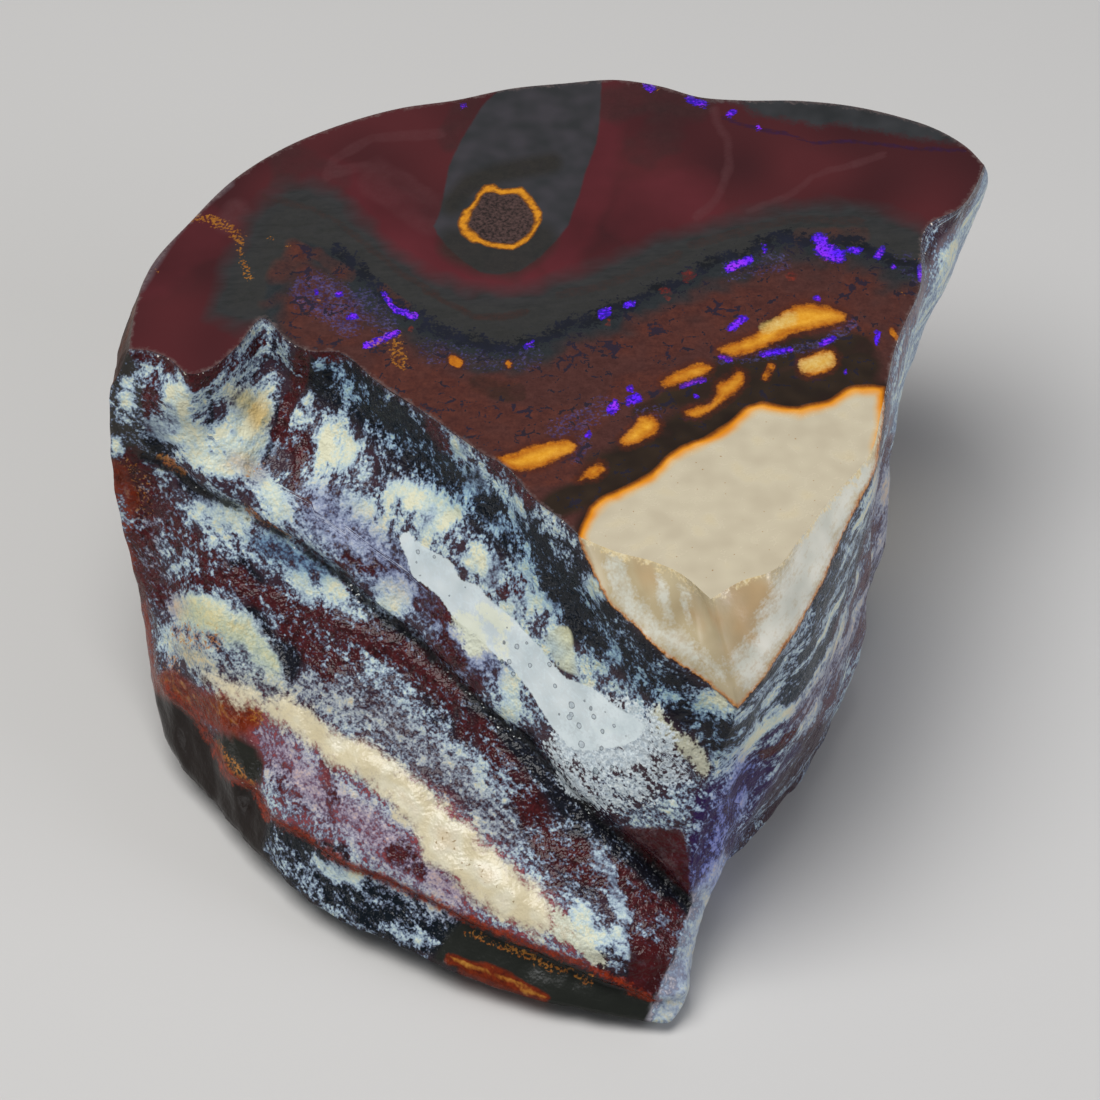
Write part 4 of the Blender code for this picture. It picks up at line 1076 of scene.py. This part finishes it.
def grains(tree, place, names):
    """Noise fields about zero for each grain, on the object's own place or along the
    flow of its streaks."""
    flow = add(tree, "ShaderNodeAttribute", None, "Vector", attribute_name="flow")
    made = {}
    for name in names.split():
        size, octaves, roughness, flowing = GRAINS[name]
        noise = add(tree, "ShaderNodeTexNoise", {
            "Vector": flow if flowing else place, "Scale": 1000.0 / size, "Detail": octaves,
            "Roughness": roughness})
        made[name] = add(tree, "ShaderNodeMath", {0: noise, 1: 0.5}, operation="SUBTRACT")
    return made


def bleached(tree, colour, rough, amount, cast, stops):
    """Lays the bleached opal over a colour: a ramp of hex and opacity by amount, tinted."""
    ramp = tree.nodes.new("ShaderNodeValToRGB")
    while len(ramp.color_ramp.elements) < len(stops):
        ramp.color_ramp.elements.new(1.0)
    for element, (position, hexcode, opacity) in zip(ramp.color_ramp.elements, stops):
        element.position = position
        element.color = linear(hexcode)[:3] + [opacity]
    tree.links.new(amount, ramp.inputs[0])
    tinted = add(tree, "ShaderNodeMix", {0: 1.0, 6: ramp.outputs["Color"], 7: cast}, 2, data_type="RGBA",
                 blend_type="MULTIPLY")
    colour = add(tree, "ShaderNodeMix", {0: ramp.outputs["Alpha"], 6: colour, 7: tinted}, 2, data_type="RGBA")
    return colour, add(tree, "ShaderNodeMix", {0: ramp.outputs["Alpha"], 2: rough, 3: OPAL_ROUGH})


def two_tone(tree, grain, dark, light, gain=BASE_TONE_GAIN):
    """Colour that goes from one hex to the other as the grain rises."""
    blend = add(tree, "ShaderNodeMath", {0: grain, 1: gain, 2: 0.5}, operation="MULTIPLY_ADD", use_clamp=True)
    return add(tree, "ShaderNodeMix", {0: blend, 6: linear(dark), 7: linear(light)}, 2, data_type="RGBA")


def paint(tree, colour, rough, layers, grain, fields):
    """Lays coats over a start colour: each coat shows where its field plus gain times
    its grain passes from low to high, its tint varies by another grain, and it takes
    its own roughness, or none where the polish runs over it."""
    for field, noise, gain, low, high, dark, light, tone, gloss, most in layers:
        raised = add(tree, "ShaderNodeMath", {0: grain[noise], 1: gain, 2: fields[field]},
                     operation="MULTIPLY_ADD")
        share = add(tree, "ShaderNodeMapRange", {0: raised, 1: low, 2: high, 3: 0.0, 4: most})
        tint = two_tone(tree, grain[tone], dark, light, TONE_GAIN)
        colour = add(tree, "ShaderNodeMix", {0: share, 6: colour, 7: tint}, 2, data_type="RGBA")
        if gloss is not None:
            rough = add(tree, "ShaderNodeMix", {0: share, 2: rough, 3: gloss})
    return colour, rough


def field_sockets(tree, names):
    """The stone's stored fields by name, each as a socket to read."""
    return {name: add(tree, "ShaderNodeAttribute", None, "Fac", attribute_name=name)
            for name in names.split()}


def finish_material(tree, colour, rough, relief, bump, coat, coat_rough):
    """Ends a stone material: opal and silica have an index near 1.46 to 1.54."""
    shader = tree.nodes["Principled BSDF"]
    shader.inputs["IOR"].default_value = STONE_INDEX
    shader.inputs["Coat Weight"].default_value = coat
    shader.inputs["Coat Roughness"].default_value = coat_rough
    tree.links.new(colour, shader.inputs["Base Color"])
    tree.links.new(rough, shader.inputs["Roughness"])
    if relief is not None:
        normal = add(tree, "ShaderNodeBump", {"Height": relief, "Strength": bump, "Distance": BUMP_DEPTH})
        tree.links.new(normal, shader.inputs["Normal"])


def start_material(name):
    """New material with its tree and the object's own place."""
    made = bpy.data.materials.new(name)
    made.use_nodes = True
    return made, made.node_tree, add(made.node_tree, "ShaderNodeTexCoord", None, "Object")


def polished_ironstone():
    """Maroon ironstone and potch sawn and polished: deep, smooth colour under a soft
    gloss, opal seams crisp edged, with fine crazing where the seams dried."""
    made, tree, place = start_material("polished_ironstone")
    grain = grains(tree, place, "coarse medium speckle streak grit dust")
    fields = field_sockets(tree, (
        "glow egg halo ring ring_band wave brown_streak crackle dark_line lens lens_heart rust mud "
        "cream_block violet blue_haze ochre_trail red_spot pale_arc smoke grey_edge plum bevel rim"))
    # crazing cells about 1.5 mm across, their lines bent by the speckle
    bend = add(tree, "ShaderNodeMath", {0: grain["speckle"], 1: CRAZE_BEND}, operation="MULTIPLY")
    bent = add(tree, "ShaderNodeVectorMath", {0: place, 1: bend}, operation="ADD")
    cells = add(tree, "ShaderNodeTexVoronoi", {"Vector": bent, "Scale": CRAZE_CELLS}, "Distance",
                feature="DISTANCE_TO_EDGE")
    zone = add(tree, "ShaderNodeMapRange", {0: fields["crackle"], 1: 0.1, 2: 0.9})
    both = add(tree, "ShaderNodeMath", {0: grain["speckle"], 1: grain["medium"]}, operation="ADD")
    broken = add(tree, "ShaderNodeMapRange", {0: both, 1: 0.04, 2: 0.2, 3: 0.0, 4: 0.15})
    thick = add(tree, "ShaderNodeMath", {0: zone, 1: broken}, operation="MULTIPLY")
    fields["craze"] = add(tree, "ShaderNodeMath", {0: thick, 1: cells}, operation="SUBTRACT")
    base = two_tone(tree, grain["coarse"], "#3a1417", "#4f1d20")
    # field, grain, gain, low, high, dark, light, tone grain, roughness, most
    layers = (
        ("glow", "medium", 0.8, -0.2, 1.2, "#551a20", "#62222a", "coarse", None, 0.75),
        ("smoke", "medium", 1.2, 0.0, 1.1, "#2d1c1b", "#3a2322", "speckle", None, 0.75),
        ("pale_arc", "medium", 1.0, -0.3, 1.4, "#5a3234", "#644042", "speckle", None, 0.5),
        ("plum", "speckle", 1.2, 0.2, 0.9, "#200c22", "#32133a", "speckle", None, 0.8),
        ("wave", "medium", 1.6, -0.7, 1.3, "#272928", "#333435", "streak", None, 0.97),
        ("wave", "streak", 5.0, 1.2, 2.6, "#2a2a27", "#363430", "speckle", None, 0.5),
        ("brown_streak", "speckle", 1.6, 0.0, 1.2, "#301b16", "#3d231c", "speckle", None, 0.7),
        ("grey_edge", "speckle", 1.2, -0.3, 0.45, "#262a2b", "#36383a", "medium", None, 0.95),
        ("egg", "speckle", 0.2, -0.08, 0.14, "#2b2d2e", "#3a383c", "medium", None, 0.98),
        ("halo", "medium", 0.8, -0.2, 1.0, "#221f1a", "#2d2922", "speckle", None, 0.8),
        ("crackle", "medium", 1.0, -0.1, 0.4, "#1f2427", "#2c2f31", "speckle", None, 0.98),
        ("crackle", "medium", 4.0, 1.0, 3.2, "#38201c", "#4a2c27", "speckle", None, 0.95),
        ("crackle", "medium", 5.0, 2.0, 3.6, "#46211c", "#583029", "speckle", None, 0.55),
        ("mud", "medium", 0.8, 0.0, 0.8, "#1e150d", "#302316", "medium", None, 0.97),
        ("rust", "medium", 2.2, 0.0, 1.3, "#47201a", "#65301e", "speckle", None, 0.75),
        ("blue_haze", "dust", 2.4, 0.3, 0.9, "#231d4c", "#5a5488", "speckle", None, 0.75),
        ("dark_line", "speckle", 4.0, -0.8, -0.3, "#080a10", "#15182a", "medium", 0.3, 0.95),
        ("craze", "speckle", 0.0, 0.0, 0.03, "#0b080a", "#1a1428", "medium", 0.35, 0.9),
        ("red_spot", "speckle", 2.0, 0.3, 1.0, "#5d1a10", "#8a2d18", "speckle", None, 0.8),
        ("violet", "speckle", 2.8, 0.15, 0.6, "#2a08a0", "#3f12c8", "dust", None, 0.9),
        ("violet", "dust", 3.0, 0.6, 1.1, "#5a18ff", "#a030f0", "medium", None, 1.0),
        ("ochre_trail", "dust", 3.0, 0.6, 1.0, "#7a4310", "#b87a22", "speckle", None, 0.8),
        ("lens", "speckle", 0.8, -0.7, -0.05, "#42180a", "#5a240a", "speckle", None, 0.75),
        ("lens", "speckle", 0.7, -0.12, 0.2, "#a05208", "#c07410", "speckle", None, 1.0),
        ("lens", "medium", 1.0, 0.2, 0.9, "#d8911a", "#e8a934", "speckle", None, 0.95),
        ("lens_heart", "speckle", 1.2, 0.2, 1.3, "#d2b058", "#dcc078", "speckle", None, 0.9),
        ("ring", "speckle", 0.3, 0.0, 0.25, "#231a18", "#523d39", "dust", 0.25, 1.0),
        ("ring_band", "speckle", 0.4, -0.1, 0.4, "#6a3a0c", "#8a5210", "speckle", None, 0.9),
        ("ring_band", "speckle", 0.8, 0.4, 0.95, "#c07812", "#d88f1c", "speckle", None, 1.0),
        # lighter bevel: painted highlight on the chipped rim
        ("bevel", "medium", 1.0, 0.1, 0.9, "#54464a", "#665a5e", "speckle", 0.3, 0.8),
        ("rim", "speckle", 1.2, -0.3, 0.1, "#5c4a48", "#7c6c68", "dust", 0.35, 0.55),
        ("cream_block", "speckle", 0.6, -1.1, -0.2, "#1c1109", "#2a190b", "medium", None, 0.9),
        ("cream_block", "medium", 0.5, -0.38, -0.1, "#7a3c06", "#a05a0a", "speckle", None, 1.0),
        ("cream_block", "medium", 0.5, -0.12, 0.18, "#db8410", "#ee9c20", "medium", None, 1.0),
        ("cream_block", "medium", 1.0, 0.15, 0.8, "#c8ae7c", "#d2ba8a", "speckle", None, 0.8),
        ("cream_block", "medium", 0.8, 0.45, 1.1, "#bdb198", "#c9bea4", "medium", None, 1.0),
        ("cream_block", "medium", 4.0, 1.9, 2.8, "#c2b08a", "#c8b890", "speckle", None, 0.6),
        ("cream_block", "grit", 10.0, 4.7, 5.0, "#8a6438", "#a87c44", "speckle", None, 0.8),
    )
    # the polish is a little duller where the medium grain is high
    sheen = add(tree, "ShaderNodeMath", {0: grain["medium"], 1: 0.12, 2: 0.19}, operation="MULTIPLY_ADD")
    colour, rough = paint(tree, base, sheen, layers, grain, fields)
    finish_material(tree, colour, rough, None, 0.0, 0.25, 0.08)
    return made


def broken_opal():
    """Ironstone broken through its opal seams: dark blue-black and maroon ground,
    dusted with bleached opal in speckles and streaks, glassy where a flake left
    clean potch, its pale colour a painted reflection, cream where the opal is porous."""
    made, tree, place = start_material("broken_opal")
    grain = grains(tree, place, "medium speckle streak grit dust vein")
    fields = field_sockets(tree, (
        "frost maroon shade chalk flat_red ochre foot_edge seam seam_tail shield crack pool cream_block "
        "glints gloss rim crest tan pool_pits pool_tail hush amber veins curd"))
    ground = add(tree, "ShaderNodeAttribute", None, "Color", attribute_name="ground")
    # frost is streaked first, then speckled, then dusted
    both = add(tree, "ShaderNodeMath", {0: grain["speckle"], 1: 0.7, 2: grain["streak"]},
               operation="MULTIPLY_ADD")
    grain["frosting"] = add(tree, "ShaderNodeMath", {0: grain["dust"], 1: 0.65, 2: both},
                            operation="MULTIPLY_ADD")
    full = add(tree, "ShaderNodeMath", {0: 1.0, 1: fields["hush"]}, operation="SUBTRACT")
    rustle = add(tree, "ShaderNodeMath", {0: grain["frosting"], 1: full}, operation="MULTIPLY")
    mixed = add(tree, "ShaderNodeMath", {0: grain["vein"], 1: fields["veins"], 2: rustle},
                operation="MULTIPLY_ADD")
    # field, grain, gain, low, high, dark, light, tone grain, roughness, most
    under = (
        # shade: dark matrix, and below the crack a painted shadow
        ("shade", "medium", 1.0, -0.1, 0.7, "#080b10", "#161d26", "speckle", 0.2, 0.92),
        ("maroon", "medium", 1.4, 0.0, 0.6, "#280e10", "#561e20", "speckle", 0.22, 0.92),
    )
    colour, rough = paint(tree, ground, fields["gloss"], under, grain, fields)
    amount = add(tree, "ShaderNodeMath", {0: mixed, 1: FROST_GAIN, 2: fields["frost"]},
                 operation="MULTIPLY_ADD")
    scaled = add(tree, "ShaderNodeMath", {0: amount, 1: 1.0 / FROST_FULL}, operation="MULTIPLY")
    cast = add(tree, "ShaderNodeAttribute", None, "Color", attribute_name="cast")
    colour, rough = bleached(tree, colour, rough, scaled, cast, (
        (0.05, "#353845", 0.0), (0.16, "#4a5062", 0.5), (0.27, "#6c7a90", 0.8), (0.38, "#92a4b5", 0.93),
        (0.50, "#adc0c8", 1.0), (0.66, "#c2cfc6", 1.0), (0.85, "#d9d7ba", 1.0)))
    layers = (
        ("shield", "medium", 0.4, -0.05, 0.25, "#b4c2be", "#d2d2ae", "medium", 0.35, 0.85),
        ("flat_red", "speckle", 0.8, -0.1, 0.3, "#2e0e10", "#461416", "medium", 0.22, 0.95),
        ("ochre", "dust", 3.0, 0.4, 1.0, "#8a4516", "#c08438", "speckle", 0.35, 0.85),
        ("amber", "streak", 1.0, -0.1, 0.5, "#541a0e", "#7c2c10", "speckle", 0.22, 0.9),
        ("amber", "streak", 1.6, 0.75, 1.3, "#96561a", "#c08a3c", "speckle", 0.2, 0.85),
        ("foot_edge", "speckle", 1.6, -0.6, -0.1, "#4a140a", "#94300f", "speckle", 0.3, 0.95),
        # near black along the crack: its dark joint, and under its step a painted shadow
        ("crack", "speckle", 1.6, -0.5, -0.15, "#050608", "#101215", "speckle", 0.4, 0.9),
        ("seam", "frosting", 2.0, -0.5, 0.4, "#b8ab92", "#d2cab0", "speckle", 0.3, 0.85),
        ("seam", "frosting", 1.8, 0.1, 0.9, "#d2c4a0", "#dfd5b6", "medium", 0.3, 0.95),
        ("seam", "medium", 5.0, 1.0, 2.2, "#d9d4bc", "#e4e0ce", "speckle", 0.25, 0.85),
        ("seam", "medium", 6.0, 1.6, 3.6, "#c09c66", "#d2b484", "speckle", 0.3, 0.6),
        ("seam", "grit", 6.0, 3.45, 3.7, "#7a6038", "#9a7c4c", "speckle", 0.3, 0.7),
        ("seam_tail", "frosting", 2.0, 0.0, 0.5, "#c9c9ae", "#d8d6bc", "speckle", 0.35, 0.8),
        ("rim", "speckle", 1.0, -0.5, 0.1, "#2c100e", "#4a1d17", "speckle", 0.3, 0.6),
        # sparse white specks along the ridge are painted glints
        ("rim", "grit", 4.0, 0.85, 1.0, "#c8bcae", "#efeae0", "speckle", 0.2, 0.9),
        ("cream_block", "speckle", 0.8, -0.3, -0.1, "#2d1a10", "#4a2a12", "speckle", 0.3, 0.8),
        ("cream_block", "speckle", 0.5, -0.12, 0.0, "#b86c20", "#d8924a", "speckle", 0.25, 0.95),
        ("cream_block", "speckle", 0.6, 0.0, 0.3, "#baa884", "#ccbc98", "medium", 0.2, 1.0),
        ("tan", "medium", 2.2, -0.3, 1.1, "#ae8e64", "#c4a478", "medium", 0.18, 0.85),
        # chalky mottles, and on the right facet painted light
        ("chalk", "frosting", 1.7, 0.0, 1.0, "#cfd0c2", "#e6e4d6", "medium", 0.22, 0.9),
        # painted highlight along the cream block's crest
        ("crest", "speckle", 4.0, -0.5, 0.1, "#d8c08c", "#efe0b8", "dust", 0.15, 0.85),
        # painted glints
        ("glints", "grit", 4.5, 1.75, 1.95, "#c8ccc8", "#f0f2f0", "speckle", 0.15, 0.95),
        # white specks at the flake's end: painted reflection
        ("pool_tail", "frosting", 3.0, 0.3, 0.8, "#a8b6c0", "#dde6e8", "dust", 0.1, 0.92),
        # the flake's pale colour is a painted reflection
        ("pool", "grit", 0.3, -0.06, 0.06, "#b9c7ca", "#d5dfe0", "medium", 0.07, 0.88),
        ("curd", "frosting", 1.6, 0.1, 0.6, "#d4d8c0", "#e4e6d0", "medium", 0.3, 0.85),
        ("pit", "grit", 0.5, 0.0, 0.15, "#3e4850", "#606c74", "dust", 0.2, 0.85),
        ("pit", "grit", 0.5, 0.3, 0.5, "#98a6ae", "#bcc8ce", "dust", 0.1, 0.8),
    )
    # round pits in the painted reflection of the glassy flake, some 0.3 mm across, deep where its field is
    # high and dropped at random so that they stand apart
    spots = add(tree, "ShaderNodeTexVoronoi", {"Vector": place, "Scale": FLAKE_PIT_CELLS}, "Distance")
    deep = add(tree, "ShaderNodeMath", {0: spots, 1: -4.5, 2: fields["pool_pits"]}, operation="MULTIPLY_ADD")
    chance = add(tree, "ShaderNodeMath", {0: spots.node.outputs["Color"], 1: 1.6, 2: -0.65},
                 operation="MULTIPLY_ADD")
    fields["pit"] = add(tree, "ShaderNodeMath", {0: deep, 1: chance}, operation="ADD")
    colour, rough = paint(tree, colour, rough, layers, grain, fields)
    # chips lie flat on the flake and the cream block, low on the seam and on bare skin
    chips = add(tree, "ShaderNodeTexNoise", {
        "Vector": place, "Scale": CHIP_CELLS, "Detail": 2.0, "Roughness": 0.65})
    glassy = add(tree, "ShaderNodeMath", {0: fields["pool"], 1: fields["cream_block"]}, operation="MAXIMUM")
    still = add(tree, "ShaderNodeMapRange", {0: glassy, 1: -0.1, 2: 0.05, 3: 1.0, 4: 0.05})
    waxy = add(tree, "ShaderNodeMapRange", {0: fields["seam"], 1: -0.2, 2: 0.4, 3: 1.0, 4: 0.5})
    worn = add(tree, "ShaderNodeMapRange", {0: fields["frost"], 1: -0.9, 2: -0.4, 3: 0.25, 4: 1.0})
    calm = add(tree, "ShaderNodeMath", {0: still, 1: waxy}, operation="MULTIPLY")
    calm = add(tree, "ShaderNodeMath", {0: calm, 1: worn}, operation="MULTIPLY")
    about = add(tree, "ShaderNodeMath", {0: chips, 1: 0.5}, operation="SUBTRACT")
    depth = add(tree, "ShaderNodeMath", {0: about, 1: calm}, operation="MULTIPLY")
    # porous frost shines less than whole opal
    whole = add(tree, "ShaderNodeMath", {0: glassy, 1: fields["seam"]}, operation="MAXIMUM")
    shine = add(tree, "ShaderNodeMapRange", {0: whole, 1: -0.1, 2: 0.1, 3: 0.22, 4: 0.5})
    tree.links.new(shine, tree.nodes["Principled BSDF"].inputs["Specular IOR Level"])
    finish_material(tree, colour, rough, depth, 0.9, 0.0, 0.1)
    return made


def nodule_skin():
    """Weathered ironstone rind: rusty brown and dull, with ochre dust, darker worn
    patches and thin paler layers showing through, all spread by noise."""
    made, tree, place = start_material("nodule_skin")
    grain = grains(tree, place, "coarse medium speckle streak grit")
    fields = {"all": add(tree, "ShaderNodeMath", {0: grain["coarse"], 1: 0.4}, operation="MULTIPLY"),
              "rim": add(tree, "ShaderNodeAttribute", None, "Fac", attribute_name="rim")}
    base = two_tone(tree, grain["medium"], "#2c1a14", "#4d2d21")
    # field, grain, gain, low, high, dark, light, tone grain, roughness, most
    layers = (
        ("all", "medium", 2.0, 0.0, 0.5, "#5a2a1a", "#7a4228", "speckle", 0.7, 0.75),
        ("all", "streak", 2.6, 0.1, 0.6, "#1d1412", "#2e201b", "medium", 0.5, 0.8),
        ("all", "speckle", 2.4, 0.35, 0.8, "#80532f", "#9c7448", "grit", 0.8, 0.55),
        ("all", "medium", 2.6, 0.55, 0.9, "#8b7f74", "#a39686", "speckle", 0.75, 0.5),
        ("all", "grit", 2.4, 0.62, 0.8, "#978778", "#b0a08c", "speckle", 0.7, 0.4),
        ("rim", "speckle", 1.4, -0.6, 0.1, "#3a2620", "#6a5046", "medium", 0.4, 0.7),
    )
    colour, rough = paint(tree, base, 0.6, layers, grain, fields)
    pits = add(tree, "ShaderNodeTexNoise", {
        "Vector": place, "Scale": SKIN_PIT_CELLS, "Detail": 3.0, "Roughness": 0.65})
    tree.nodes["Principled BSDF"].inputs["Specular IOR Level"].default_value = 0.3
    finish_material(tree, colour, rough, pits, 1.0, 0.0, 0.3)
    return made


FLOOR_HALF = 1.5
FLOOR_COLOUR = "#c9c7c4"
FLOOR_ROUGH = 0.9
ROOM_COLOUR = "#bfc4ca"
ROOM_STRENGTH = 0.25
SENSOR = 36.0
# The softbox that glints in the flake: distance and size in mm, and watts.
GLINT_LIGHT = (420.0, (170.0, 170.0), 0.26)
# The other softboxes: name, direction, place faced, distance, size, watts, tint.
SOFTBOXES = (
    ("top_softbox", (-0.25, -0.1, 1.0), (0, 0, 20), 600.0, (420.0, 420.0), 3.6, "#ffffff"),
    ("right_softbox", (0.9, -0.3, 0.35), (20, 0, 20), 450.0, (200.0, 260.0), 0.75, "#f2f4ff"),
)


def light(name, direction, middle, distance, size, watts, tint="#ffffff"):
    """Square soft light at a distance in mm from a place, facing it."""
    data = bpy.data.lights.new(name, "AREA")
    data.shape = "RECTANGLE"
    data.size, data.size_y = size[0] * 0.001, size[1] * 0.001
    data.energy = watts
    data.color = linear(tint)[:3]
    made = bpy.data.objects.new(name, data)
    way = Vector(direction).normalized()
    made.location = (Vector(middle) + distance * way) * 0.001
    made.rotation_euler = way.to_track_quat("Z", "Y").to_euler()
    bpy.context.scene.collection.objects.link(made)


def build_stage(pool_normal, pool_middle):
    """Pale floor, soft lights, and the camera at the stone's viewing angle."""
    scene = bpy.context.scene
    mesh = bpy.data.meshes.new("floor")
    corners = [(x * FLOOR_HALF, y * FLOOR_HALF, 0) for x, y in ((-1, -1), (1, -1), (1, 1), (-1, 1))]
    mesh.from_pydata(corners, [], [(0, 1, 2, 3)])
    pale = bpy.data.materials.new("floor_matte")
    pale.use_nodes = True
    shader = pale.node_tree.nodes["Principled BSDF"]
    shader.inputs["Base Color"].default_value = linear(FLOOR_COLOUR)
    shader.inputs["Roughness"].default_value = FLOOR_ROUGH
    mesh.materials.append(pale)
    floor = bpy.data.objects.new("floor", mesh)
    scene.collection.objects.link(floor)

    world = bpy.data.worlds.new("soft_room")
    world.use_nodes = True
    world.node_tree.nodes["Background"].inputs["Color"].default_value = linear(ROOM_COLOUR)
    world.node_tree.nodes["Background"].inputs["Strength"].default_value = ROOM_STRENGTH
    scene.world = world

    camera_at = np.array(AIM) + DISTANCE * np.array((0.0, -math.cos(TILT), math.sin(TILT)))
    to_camera = camera_at - pool_middle
    to_camera /= np.linalg.norm(to_camera)
    glint = 2.0 * (to_camera @ pool_normal) * pool_normal - to_camera
    light("front_softbox", glint, pool_middle, *GLINT_LIGHT)
    for softbox in SOFTBOXES:
        light(*softbox)

    data = bpy.data.cameras.new("camera")
    data.sensor_width = SENSOR
    data.lens = PX_PER_RADIAN / FRAME_PX * SENSOR
    data.clip_start = 0.01
    camera = bpy.data.objects.new("camera", data)
    camera.location = camera_at * 0.001
    camera.rotation_euler = (math.pi / 2 - TILT, 0.0, 0.0)
    scene.collection.objects.link(camera)
    scene.camera = camera
    scene.view_settings.view_transform = "Standard"


stone, pool_normal, pool_middle = build_stone()
for material in (polished_ironstone(), broken_opal(), nodule_skin()):
    stone.data.materials.append(material)
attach(stone, "root")
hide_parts("boulder_opal")
build_stage(pool_normal, pool_middle)
